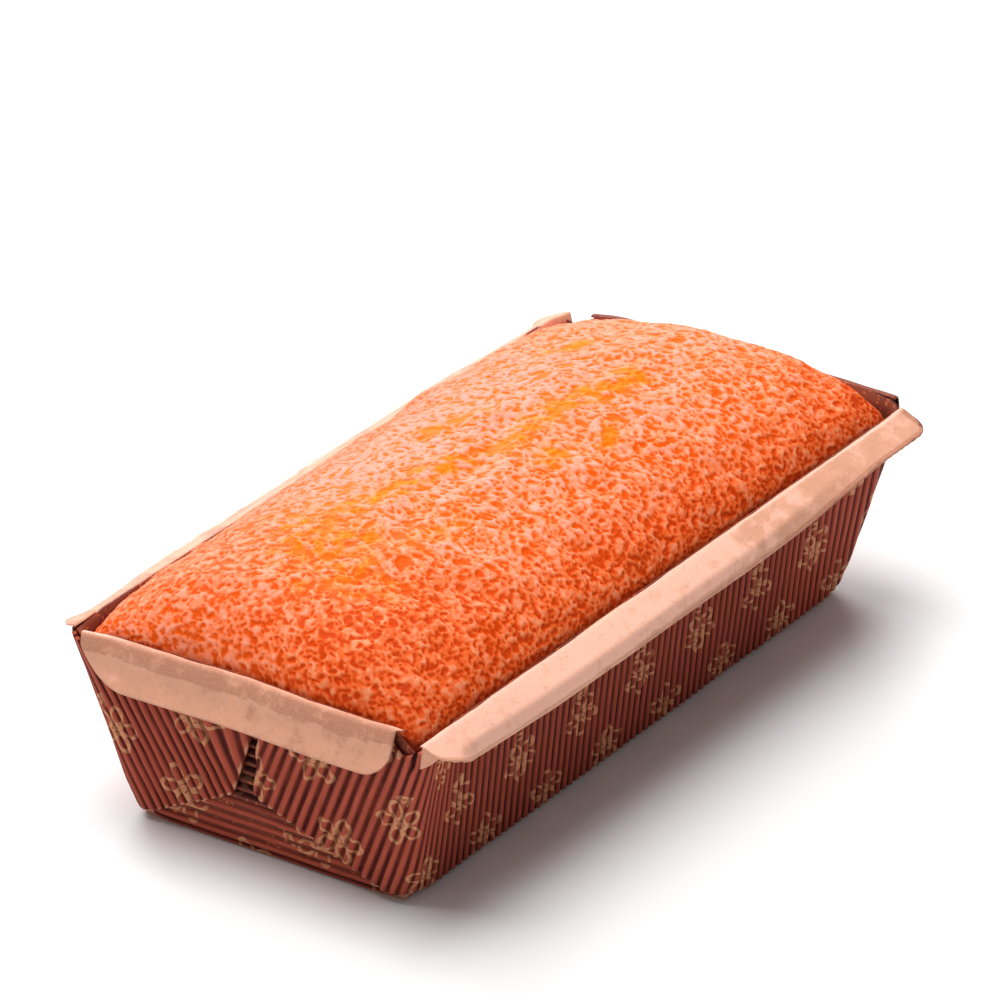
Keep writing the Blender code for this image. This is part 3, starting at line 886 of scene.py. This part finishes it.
def inner_liner(case, name):
    """The kraft liner inside the case, nicked at the corners like the rim."""
    bm = flat_grid(480, 14)
    flat, back = thicken(bm)
    for vert in bm.verts:
        turn, up, _ = vert[flat]
        offset = 0.0003 * (1 - vert[back]) - 0.0004 * vert[back]
        point = inside_point(case, turn, up, offset)
        near = max(0.0, 1 - corner_nearness(case, point) / LINER_NICK_REACH)
        nick = LINER_NICK * notch_depth(case, point.x, point.y) * near
        lower = (nick + 0.0004) * smooth(0.6, 1.0, up) / (case.height - case.floor)
        vert.co = settle(case, inside_point(case, turn, up - lower, offset))
    bmesh.ops.remove_doubles(bm, verts=bm.verts, dist=1e-6)
    inner = [f for f in bm.faces if len({v.index for v in f.verts}) < 3]
    bmesh.ops.delete(bm, geom=inner, context="FACES")
    finish_board(case, name, bm, flat, back, (2, 2, 2))


def strip_mesh(case, columns, profile, ends, seed, tone):
    """A rim strip along X at the -Y side, from a function that gives its profile at a place."""
    rows = len(profile(0.0)) - 1
    low, high = ends[0][0], ends[1][0]
    bm = flat_grid(columns, rows)
    flat, back = thicken(bm)
    wear_and_light = bm.verts.layers.float.new(WEAR_AND_LIGHT)
    for vert in bm.verts:
        across, up, _ = vert[flat]
        row = round(up * rows)
        x = low + (high - low) * across
        path = profile(x)
        a, b = path[max(row - 1, 0)], path[min(row + 1, rows)]
        along = (b - a).normalized()
        normal = Vector((0, along.y, along.x))
        point = Vector((x, -path[row].x, path[row].y))
        far = sum((q - p).length for p, q in zip(path[:row], path[1:row + 1]))
        point += normal * (0.00012 * rough(x, far, 0.007, seed) + 0.00022 * rough(x, far, 0.021, seed + 2))
        if vert[back]:
            point -= normal * (case.strip - 0.6 * flute(case, x, case.strip))
        # The tone holds painted highlight, sheen and shade as well as rubbing and stains.
        vert[wear_and_light] = tone(x, far, sum((q - p).length for p, q in zip(path, path[1:])))
        vert[flat] = (x, far, 0)
        vert.co = point
    return bm, flat, back


def corner_tab(case, name):
    """A small scrap of kraft that hangs below the near strip, next to the crease of the near corner."""
    fold = Fold(case)
    bm = flat_grid(10, 10)
    flat, back = thicken(bm)
    wear_and_light = bm.verts.layers.float.new(WEAR_AND_LIGHT)
    for vert in bm.verts:
        a, b, _ = vert[flat]
        d = -0.0006 - 0.0050 * a
        below = 0.0012 + b * (0.0078 - 0.0026 * a)
        t = fold.slope - below
        s = fold.corner.x + (d - t * fold.beyond.y) / fold.beyond.x
        point, normal, _ = fold.place(s, t)
        vert[wear_and_light] = 0.0
        vert[flat] = (s, t, 0)
        vert.co = settle(case, point + normal * (0.0001 + 0.0004 * (1 - vert[back])))
    finish_board(case, name, bm, flat, back, (1, 1, 1))


def rounded_width(end, full, along, across, power=2.0):
    """Width of a strip at a distance from its end, whose outer corner is rounded."""
    left = max(0.0, 1 - end / along)
    return full - across + across * (1 - left ** power) ** (1 / power)


NEAR_STRIP_ENDS = ((-0.1117, 0.0119, 30, 1, 0.018, 0.0090, 0.0, 0.055, 0.0),
                   (0.1089, 0.0098, 24, 0, 0.005, 0.0040, 0.0, 0.085, 0.0))
FAR_STRIP_ENDS = ((-0.1112, 0.0092, 30, 1, 0.003, 0.0040, 0.0014, 0.055, 0.0050),
                  (0.1089, 0.0080, 17, 1, 0.016, 0.0066, 0.0, 0.060, 0.0))


def side_profile(case, ends):
    """Profiles of a long side's strip, whose outer edge curls down.

    For each end, at -X and at +X: its place, width, slope, share of curl, rounding along and across,
    dip of the fold, how far from the end it blends in, and how far plain kraft reaches down inside.
    """
    inside = case.half_width + case.side_flare - case.wall
    count = 16

    def path(x):
        place, width_end, slope_end, curl_end, along, across, dip_end, blend, lining = ends[x > 0]
        end = max(0.0, abs(place) - abs(x))
        lining = lining * smooth(0.055, 0.016, end)
        fold = [(1.02 * lining + 1e-5, -76.5), (0.0004, -35), (0.0004, -5), (0.0008, 16)]
        used = sum(step for step, _ in fold)
        mid = smooth(0.2 * blend, blend, end)
        full = width_end + (case.side_rim - width_end) * mid
        slope = slope_end + (24 - slope_end) * mid
        curl = curl_end * smooth(0.004, 0.015, end) * (1 - mid) + mid
        close = smooth(0.010, 0.0, end) if dip_end else 0.0
        width = max(rounded_width(end, full, along, across) + lining, used + 0.0003)
        full += lining
        steps = list(fold)
        for k in range(count):
            at = used + (k + 0.5) / count * (width - used)
            bent = smooth(full - 0.0056, full - 0.0036, at)
            steps.append(((width - used) / count, slope - 5 * close + curl * (52 * bent + 3 * (at / full))))
        start = inside - 0.0001 - 0.36 * lining
        return walk((start, case.height - 0.0006 - lining - dip_end * close), steps)

    return path


def side_strip(case, name, turned, seed):
    """The kraft strip along a long side."""
    ends = FAR_STRIP_ENDS if turned else NEAR_STRIP_ENDS

    def tone(x, far, width):
        """Painted highlight at the fold and painted sheen along part of the strip; the far one has painted
        shade towards its fold and a painted white highlight beyond it.
        """
        if turned:
            if x < -0.088:
                return -0.30
            far -= 0.0050 * smooth(-0.069, -0.099, x)
            return -0.50 if far < 0.0056 + 0.0010 * rough(x, 0.0, 0.009, 3.0) else HIGHLIGHT_TONE
        painted_sheen = 1.35 - 1.25 * smooth(-0.080, 0.070, x)
        folded = smooth(0.1068, 0.1072, x) * smooth(0.0006, 0.0012, far) * smooth(0.0082, 0.0074, far)
        return (1.0 if far < 0.0016 else painted_sheen - 1.5 * smooth(0.0018, 0.0008, width - far)) - 1.6 * folded

    profile = side_profile(case, ends)
    bm, flat, back = strip_mesh(case, 76 * 6, profile, ends, seed, tone)
    if turned:
        bmesh.ops.rotate(bm, verts=bm.verts, cent=(0, 0, 0), matrix=Matrix.Rotation(math.pi, 3, "Z"))
    for vert in bm.verts:
        vert.co = settle(case, vert.co)
    finish_board(case, name, bm, flat, back, (1, 1, 0))


NEAR_END_STRIP = ((-0.0492, 0.0138, 0.0128, 1.8, 0.0), (0.0456, 0.0076, 0.0078, 2.0, 0.0022))
FAR_END_STRIP = ((-0.0500, 0.0050, 0.0060, 2.0, 0.0), (0.0440, 0.0050, 0.0060, 2.0, 0.0))


def end_profile(case, flared, ends):
    """Profiles of an end's strip: over the flaps, steeply down, and flared at its lower edge."""
    inside = case.half_length + case.end_flare - case.end_wall
    over = case.end_wall + case.flap_lift
    fold = [(0.0004, -35), (over - 0.0013, 1), (0.0005, 32), (0.0005, 60), (0.0024, 78)]
    count = 16

    def path(x):
        place, along, across, power, stub = ends[x > 0]
        end = max(0.0, abs(place) - abs(x))
        if end < stub:
            left = max(0.0004, 1.09 * end)
        else:
            left = rounded_width(end - stub, case.end_rim, along, across, power)
        steps = []
        for step, degrees in fold:
            steps.append((max(1e-5, min(step, left)), degrees))
            left -= step
        for k in range(count):
            at = (k + 0.5) / count * left
            bend = smooth(0.0030, 0.0062, at + 0.0010 * rough(x, 0.0, 0.02, 4.2))
            steps.append((max(1e-5, left / count), 86 - flared * bend))
        return walk((inside - 0.0001, case.height - 0.0006), steps)

    return path


def end_strip(case, name, turned, seed):
    """The kraft strip that is folded down over the flaps at an end."""
    def tone(x, far, width):
        """Painted highlight at the fold, then a band of painted shade; at the far end the fold is soaked.
        """
        if turned:
            return SOAKED if far < 0.0046 or width - far < 0.0010 else -0.9
        if far < 0.0012:
            return 0.8
        band = 0.0062 + 0.0008 * rough(x, 0.0, 0.012, 6.0)
        return -0.75 if far < band else -0.05 - 0.32 * smooth(-0.020, 0.030, x)

    ends = FAR_END_STRIP if turned else NEAR_END_STRIP
    profile = end_profile(case, 4 if turned else 17, ends)
    bm, flat, back = strip_mesh(case, 170, profile, ends, seed, tone)
    side = math.pi / 2 if turned else -math.pi / 2
    bmesh.ops.rotate(bm, verts=bm.verts, cent=(0, 0, 0), matrix=Matrix.Rotation(side, 3, "Z"))
    for vert in bm.verts:
        lift = 0.0 if turned else 0.0007 * smooth(-0.036, -0.0455, vert.co.y)
        vert.co = settle(case, vert.co) + UP * lift
    finish_board(case, name, bm, flat, back, (1, 1, 0))


# --- cake

def round_corner(x, y, half_length, half_width, radius):
    """Moves a point of a sharp rectangle into one with round corners."""
    dx = (abs(x) - half_length + radius) / radius
    dy = (abs(y) - half_width + radius) / radius
    if dx <= 0 or dy <= 0:
        return x, y
    px = half_length - radius + radius * dx * math.sqrt(1 - dy * dy / 2)
    py = half_width - radius + radius * dy * math.sqrt(1 - dx * dx / 2)
    return math.copysign(px, x), math.copysign(py, y)


# Golden streaks of the crust: start, end, half width and strength.
GOLDEN_STREAKS = (
    ((-0.056, 0.012), (-0.014, 0.002), 0.0030, 1.0), ((-0.081, 0.012), (-0.060, -0.002), 0.0032, 0.9),
    ((-0.004, -0.002), (0.018, 0.000), 0.0026, 0.9), ((0.018, 0.000), (0.054, -0.004), 0.0036, 1.0),
    ((0.001, -0.013), (0.009, -0.015), 0.0034, 0.9), ((0.016, -0.021), (0.027, -0.016), 0.0020, 0.7),
    ((0.062, 0.026), (0.069, 0.021), 0.0030, 0.9), ((0.000, 0.022), (0.016, 0.014), 0.0024, 0.6),
    ((-0.090, -0.002), (-0.078, -0.012), 0.0034, 0.5), ((-0.062, -0.012), (-0.040, -0.016), 0.0030, 0.4),
    ((-0.063, 0.020), (-0.079, -0.012), 0.0085, 0.68))
# Sizes of the crumb's features, in metres.
COARSE_PITS, FINE_PITS, HOLES = 0.0024, 0.00135, 0.0075
SWIRL, RAGGED, CLUSTERS = 0.0040, 0.0019, 0.0090
CRAGS, SMALL_CRAGS = 0.0110, 0.0052
COARSE_GRAIN, FINE_GRAIN = 0.0014, 0.00075
GOLD_PATCHES = 0.0038
SPLIT_HALF_WIDTH = 0.0034
CAKE_CORNER = 0.0057
# How much the crumb is drawn out along X, Y and Z.
DRAWN = (0.74, 0.76, 0.95)
# Places to read the same noise again without a likeness.
ELSEWHERE = [Vector(v) for v in ((5, 2, 8), (4, 4, 9), (0.5, 0.3, 0.1), (0.9, 0.7, 0.2), (7, 1, 3))]


def split_line(x):
    """Where the split of the crest runs, across the loaf."""
    return 0.0045 * math.sin(x * 42 + 0.4) + 0.0022 * math.sin(x * 133)


def pitted(spot, cell, share):
    """How deep a place lies in rounded pits, one at most to a cell."""
    away, middles = noise.voronoi(spot / cell)
    deep = 0.0
    for far, middle in zip(away[:2], middles[:2]):
        size = share * (0.95 + 0.45 * noise.cell(middle * 97.0))
        deep = max(deep, smooth(1.15, 0.40, far / max(size, 1e-3)))
    return deep


def crust_relief(cake, x, y, z, fullness):
    """Height of the crust over the smooth dome, how high the crumb stands, and how golden it is."""
    spot = Vector((x, y, z))
    swirl = Vector((noise.noise(spot / SWIRL), noise.noise(spot / SWIRL + ELSEWHERE[0]), 0)) * 0.0006
    drawn = Vector(c * pull for c, pull in zip((x, y, z), DRAWN)) + swirl
    drawn += noise.noise_vector(spot / RAGGED) * 0.0005
    crags = cake.crag * (noise.noise(spot / CRAGS) + 0.5 * noise.noise(spot / SMALL_CRAGS))
    golden = 0.0
    for start, end, width, strength in GOLDEN_STREAKS:
        away = distance_to(Vector((x, y)), Vector(start), Vector(end)) / (1.25 * width)
        golden = max(golden, strength * math.exp(-away * away))
    golden = max(0.0, min(1.0, golden * (0.85 + 2.3 * noise.noise(spot / GOLD_PATCHES))))
    dense = smooth(0.95, 0.45, fullness)
    crowded = 0.07 * noise.noise(spot / CLUSTERS + ELSEWHERE[1]) + 0.05 * dense + 0.10 * golden
    grain = 0.7 * noise.noise(drawn / COARSE_GRAIN) + 0.45 * noise.noise(drawn / FINE_GRAIN + ELSEWHERE[4])
    deep = max(pitted(drawn, COARSE_PITS, 0.38 + crowded - 0.15 * dense),
               0.9 * pitted(drawn + ELSEWHERE[2], FINE_PITS, 0.38 + crowded + 0.02 * dense),
               pitted(drawn + ELSEWHERE[3], HOLES, (0.22 + 0.5 * crowded) * (1 - 0.6 * dense)),
               (0.45 + 0.40 * dense) * smooth(0.10, 0.50 - 0.06 * dense, -grain))
    off = abs(y - split_line(x)) / SPLIT_HALF_WIDTH
    open_here = 0.5 + 0.5 * noise.noise(Vector((x * 55, 3.7, 0.0)))
    reach = max(0.0, 1 - (x / 0.086) ** 4)
    split = -cake.split * math.exp(-off ** 2) + 0.0007 * math.exp(-(off - 2.2) ** 2)
    soft = min(1.0, 2.5 * fullness)
    height = soft * crags + open_here * reach * split
    height -= (0.35 + 0.65 * soft) * (1 - 0.22 * dense) * (cake.pore * deep - cake.grain * grain)
    crumb = (1 - 0.95 * deep) * (0.77 + 0.85 * grain)
    crumb += (0.62 - crumb) * 0.22 * dense
    return height, crumb, golden


def cake_outline(case, cake, z):
    """Half length, half width and corner radius of the cake at a height."""
    half_x, half_y = half_sizes(case, z)
    return half_x - case.end_wall - cake.gap, half_y - case.wall - cake.gap, CAKE_CORNER - case.end_wall


def crowd(t, pull, power):
    """Spreads -1..1 so that its steps get smaller towards both ends."""
    return (1 + pull) * t - pull * math.copysign(abs(t) ** power, t)


def dome(cake, xi, eta):
    """How full the dome is, from 0 at the case to 1 at the crest, and its height."""
    ends = max(0.0, 1 - abs(xi) ** cake.end_power) ** cake.end_fullness
    full = ends * max(0.0, 1 - eta * eta) ** cake.side_fullness
    low = cake.edge - cake.corner_dip * abs(xi) ** 8 * abs(eta) ** 6
    low += cake.back_rise * smooth(-0.40, 0.40, xi) * smooth(0.0, 0.85, eta) * smooth(0.90, 0.76, xi)
    return full, low + (cake.crest - low - cake.lean * xi) * full


def browning_and_shade(x, y, full):
    """How brown the crust is at a place: most at the case, and more at the near side than at the far end,
    which is painted shade; above 1 at the very edge, partly burnt and partly a painted shadow along the
    case.
    """
    near_side, near_end = smooth(0.025, -0.035, y), smooth(-0.040, -0.075, x)
    shaded = 0.54 + 0.46 * near_side - 0.54 * smooth(0.010, 0.070, x) * smooth(0.32, 0.66, full)
    shaded += 0.12 * smooth(-0.060, -0.098, x) * smooth(0.010, -0.035, y)
    brown_and_shade = shaded * smooth(0.92 + 0.28 * near_end, 0.39 + 0.17 * near_end, full) + smooth(0.20, 0.04, full)
    low = smooth(0.50, 0.22, full) * smooth(0.0, -0.03, y)
    return brown_and_shade + (0.09 + 0.12 * smooth(-0.03, 0.05, x)) * low


def crust_part(case, cake, name, part):
    """One stretch of the domed, craggy top, since all its pores are too many faces for one piece."""
    bm = flat_grid(cake.columns, cake.rows)
    relief = bm.verts.layers.float.new(RELIEF)
    gold = bm.verts.layers.float.new(GOLD)
    edge = bm.verts.layers.float.new(EDGE)
    painted_sheen = bm.verts.layers.float.new(PAINTED_SHEEN)
    half_x, half_y, radius = cake_outline(case, cake, cake.edge)
    reach = 0.004
    for vert in bm.verts:
        xi = crowd(2 * (part + vert.co.x) / cake.parts - 1, 0.10, 9)
        eta = crowd(2 * vert.co.y - 1, 0.18, 5)
        x, y = round_corner(xi * half_x, eta * half_y, half_x, half_y, radius)
        full, z = dome(cake, xi, eta)
        z -= 0.0030 * smooth(0.030, 0.095, x) * smooth(-0.004, 0.028, y) * full
        rise, crumb, golden = crust_relief(cake, x, y, z, full)
        slope_x = (dome(cake, xi + reach, eta)[1] - dome(cake, xi - reach, eta)[1]) / (2 * reach * half_x)
        slope_y = (dome(cake, xi, eta + reach)[1] - dome(cake, xi, eta - reach)[1]) / (2 * reach * half_y)
        normal = Vector((-slope_x, -slope_y, 1)).normalized()
        vert.co = settle(case, Vector((x, y, z)) + normal * rise, paper=False)
        vert[relief], vert[gold], vert[edge] = crumb, golden, browning_and_shade(x, y, full)
        # Painted sheen: paler towards the far side, less so towards both ends.
        vert[painted_sheen] = smooth(-0.042, 0.034, y + 0.12 * x) * (0.45 + 0.55 * smooth(-0.100, -0.030, x))
        vert[painted_sheen] *= 1 - 0.5 * smooth(0.035, 0.080, x)
    finish_piece(name, bm, [cake_material(cake)], "cake")


def cake_core(case, cake, name):
    """The cake's body below its crust, down to the floor of the case."""
    bm = bmesh.new()
    bmesh.ops.create_grid(bm, x_segments=40, y_segments=24, size=1.0)
    rim = [e for e in bm.edges if e.is_boundary]
    relief = bm.verts.layers.float.new(RELIEF)
    edge = bm.verts.layers.float.new(EDGE)
    half_x, half_y, radius = cake_outline(case, cake, cake.edge)
    for vert in bm.verts:
        xi, eta = vert.co.x, vert.co.y
        low = cake.edge - cake.corner_dip * abs(xi) ** 8 * abs(eta) ** 6
        full = max(0.0, 1 - xi ** 4) ** 0.5 * max(0.0, 1 - eta * eta) ** 0.7
        x, y = round_corner(xi * half_x, eta * half_y, half_x, half_y, radius)
        vert.co = settle(case, Vector((x, y, low - 0.0012 + 0.7 * (cake.crest - low) * full)), paper=False)
        vert[edge] = 1.5
        vert[relief] = 0.3
    skirt = bmesh.ops.extrude_edge_only(bm, edges=rim)["geom"]
    low_x, low_y, _ = cake_outline(case, cake, case.floor)
    for vert in skirt:
        if isinstance(vert, bmesh.types.BMVert):
            vert.co = (vert.co.x * low_x / half_x, vert.co.y * low_y / half_y, case.floor + cake.gap)
    bottom = [e for e in skirt if isinstance(e, bmesh.types.BMEdge) and e.is_boundary]
    bmesh.ops.contextual_create(bm, geom=bottom)
    bmesh.ops.recalc_face_normals(bm, faces=bm.faces)
    finish_piece(name, bm, [cake_material(cake)], "cake")


def cake_material(cake):
    """The crust's material, built once."""
    return bpy.data.materials.get("baked_crust") or crust(cake)


# --- stage

def stage_floor(stage):
    """A plain pale floor."""
    bm = bmesh.new()
    bmesh.ops.create_grid(bm, x_segments=8, y_segments=8, size=6.0)
    mesh = bpy.data.meshes.new("studio_floor")
    bm.to_mesh(mesh)
    bm.free()
    material, _, shader = new_material("studio_floor")
    shader.inputs["Base Color"].default_value = rgba(stage.floor_tone)
    shader.inputs["Roughness"].default_value = 0.9
    mesh.materials.append(material)
    floor = bpy.data.objects.new("studio_floor", mesh)
    bpy.context.scene.collection.objects.link(floor)


def area_light(name, power, size, place, target):
    """A soft square light that faces a point."""
    light = bpy.data.lights.new(name, "AREA")
    light.energy = power
    light.size = size
    item = bpy.data.objects.new(name, light)
    item.location = place
    item.rotation_euler = (Vector(target) - Vector(place)).to_track_quat("-Z", "Y").to_euler()
    bpy.context.scene.collection.objects.link(item)


def studio_light(stage):
    """One large light overhead, one behind that shines along the tops, and an even sky."""
    area_light("key_light", stage.key, 1.3, (-0.10, 0.30, 1.7), (0, 0, 0.04))
    area_light("back_light", stage.back, 1.2, (1.20, 1.25, 0.90), (0, 0, 0.04))
    world = bpy.data.worlds.new("studio")
    world.use_nodes = True
    world.node_tree.nodes["Background"].inputs["Color"].default_value = (1, 1, 1, 1)
    world.node_tree.nodes["Background"].inputs["Strength"].default_value = stage.sky
    bpy.context.scene.world = world
    bpy.context.scene.view_settings.view_transform = "Standard"


def studio_camera(stage):
    """The camera at the photo's angle."""
    az, el, roll = stage.azimuth, stage.elevation, stage.roll
    back = Vector((math.sin(az) * math.cos(el), -math.cos(az) * math.cos(el), math.sin(el)))
    right = Vector((math.cos(az), math.sin(az), 0))
    up = back.cross(right)
    across = right * math.cos(roll) + up * math.sin(roll)
    upward = up * math.cos(roll) - right * math.sin(roll)
    data = bpy.data.cameras.new("photo_camera")
    data.lens = stage.lens
    data.sensor_width = 36.0
    data.clip_end = 50.0
    camera = bpy.data.objects.new("photo_camera", data)
    turn = Matrix((across, upward, back)).transposed().to_4x4()
    camera.matrix_world = Matrix.Translation(Vector(stage.target) + back * stage.distance) @ turn
    bpy.context.scene.collection.objects.link(camera)
    bpy.context.scene.camera = camera


# --- operators

class LOAF_OT_long_walls(bpy.types.Operator):
    """Folds the two fluted long walls with their end flaps"""

    bl_idname = "loaf.long_walls"
    bl_label = "Long Walls"

    def execute(self, context):
        case = context.scene.loaf_case
        long_wall(case, "near_wall", False, 1.0)
        long_wall(case, "far_wall", True, 21.0)
        return {"FINISHED"}


class LOAF_OT_floor_and_ends(bpy.types.Operator):
    """Makes the floor, and its own flaps that stand up at the ends"""

    bl_idname = "loaf.floor_and_ends"
    bl_label = "Floor and Ends"

    def execute(self, context):
        case = context.scene.loaf_case
        floor_panel(case, "case_floor")
        end_panel(case, "near_end_panel", False, 31.0)
        end_panel(case, "far_end_panel", True, 41.0)
        return {"FINISHED"}


class LOAF_OT_liner(bpy.types.Operator):
    """Makes the stained liner inside the case"""

    bl_idname = "loaf.liner"
    bl_label = "Liner"

    def execute(self, context):
        inner_liner(context.scene.loaf_case, "inner_liner")
        return {"FINISHED"}


class LOAF_OT_rim(bpy.types.Operator):
    """Turns the kraft rim outward along the sides and the ends"""

    bl_idname = "loaf.rim"
    bl_label = "Rim"

    def execute(self, context):
        case = context.scene.loaf_case
        side_strip(case, "near_side_rim", False, 51.0)
        corner_tab(case, "near_corner_tab")
        side_strip(case, "far_side_rim", True, 61.0)
        end_strip(case, "near_end_rim", False, 71.0)
        end_strip(case, "far_end_rim", True, 81.0)
        return {"FINISHED"}


class LOAF_OT_cake(bpy.types.Operator):
    """Bakes the cake"""

    bl_idname = "loaf.cake"
    bl_label = "Cake"

    def execute(self, context):
        case, cake = context.scene.loaf_case, context.scene.loaf_cake
        noise.seed_set(cake.seed)  # vector noise follows the clock otherwise
        cake_core(case, cake, "cake_core")
        for part in range(cake.parts):
            crust_part(case, cake, f"cake_crust_{part + 1}", part)
        return {"FINISHED"}


class LOAF_OT_stage(bpy.types.Operator):
    """Sets up floor, light and camera"""

    bl_idname = "loaf.stage"
    bl_label = "Stage"

    def execute(self, context):
        stage = context.scene.loaf_stage
        stage_floor(stage)
        studio_light(stage)
        studio_camera(stage)
        return {"FINISHED"}


OPERATORS = (LOAF_OT_long_walls, LOAF_OT_floor_and_ends, LOAF_OT_liner, LOAF_OT_rim, LOAF_OT_cake,
             LOAF_OT_stage)


class LOAF_PT_panel(bpy.types.Panel):
    """Lists the operators of the loaf cake"""

    bl_idname = "LOAF_PT_panel"
    bl_label = "Lemon Loaf Cake"
    bl_space_type = "VIEW_3D"
    bl_region_type = "UI"
    bl_category = "Loaf Cake"

    def draw(self, context):
        for operator in OPERATORS:
            self.layout.operator(operator.bl_idname)


SETTINGS = (("loaf_case", LoafCaseSettings), ("loaf_cake", LoafCakeSettings),
            ("loaf_stage", LoafStageSettings))


def register():
    """Registers the settings, the operators and the panel."""
    for name, group in SETTINGS:
        bpy.utils.register_class(group)
        setattr(bpy.types.Scene, name, PointerProperty(type=group))
    for cls in (*OPERATORS, LOAF_PT_panel):
        bpy.utils.register_class(cls)


def unregister():
    """Takes them out again."""
    for cls in (LOAF_PT_panel, *reversed(OPERATORS)):
        bpy.utils.unregister_class(cls)
    for name, group in reversed(SETTINGS):
        delattr(bpy.types.Scene, name)
        bpy.utils.unregister_class(group)


def main():
    """Builds every piece and the stage."""
    register()
    bpy.ops.loaf.long_walls()
    bpy.ops.loaf.floor_and_ends()
    bpy.ops.loaf.liner()
    bpy.ops.loaf.rim()
    bpy.ops.loaf.cake()
    bpy.ops.loaf.stage()


if __name__ == "__main__":
    main()
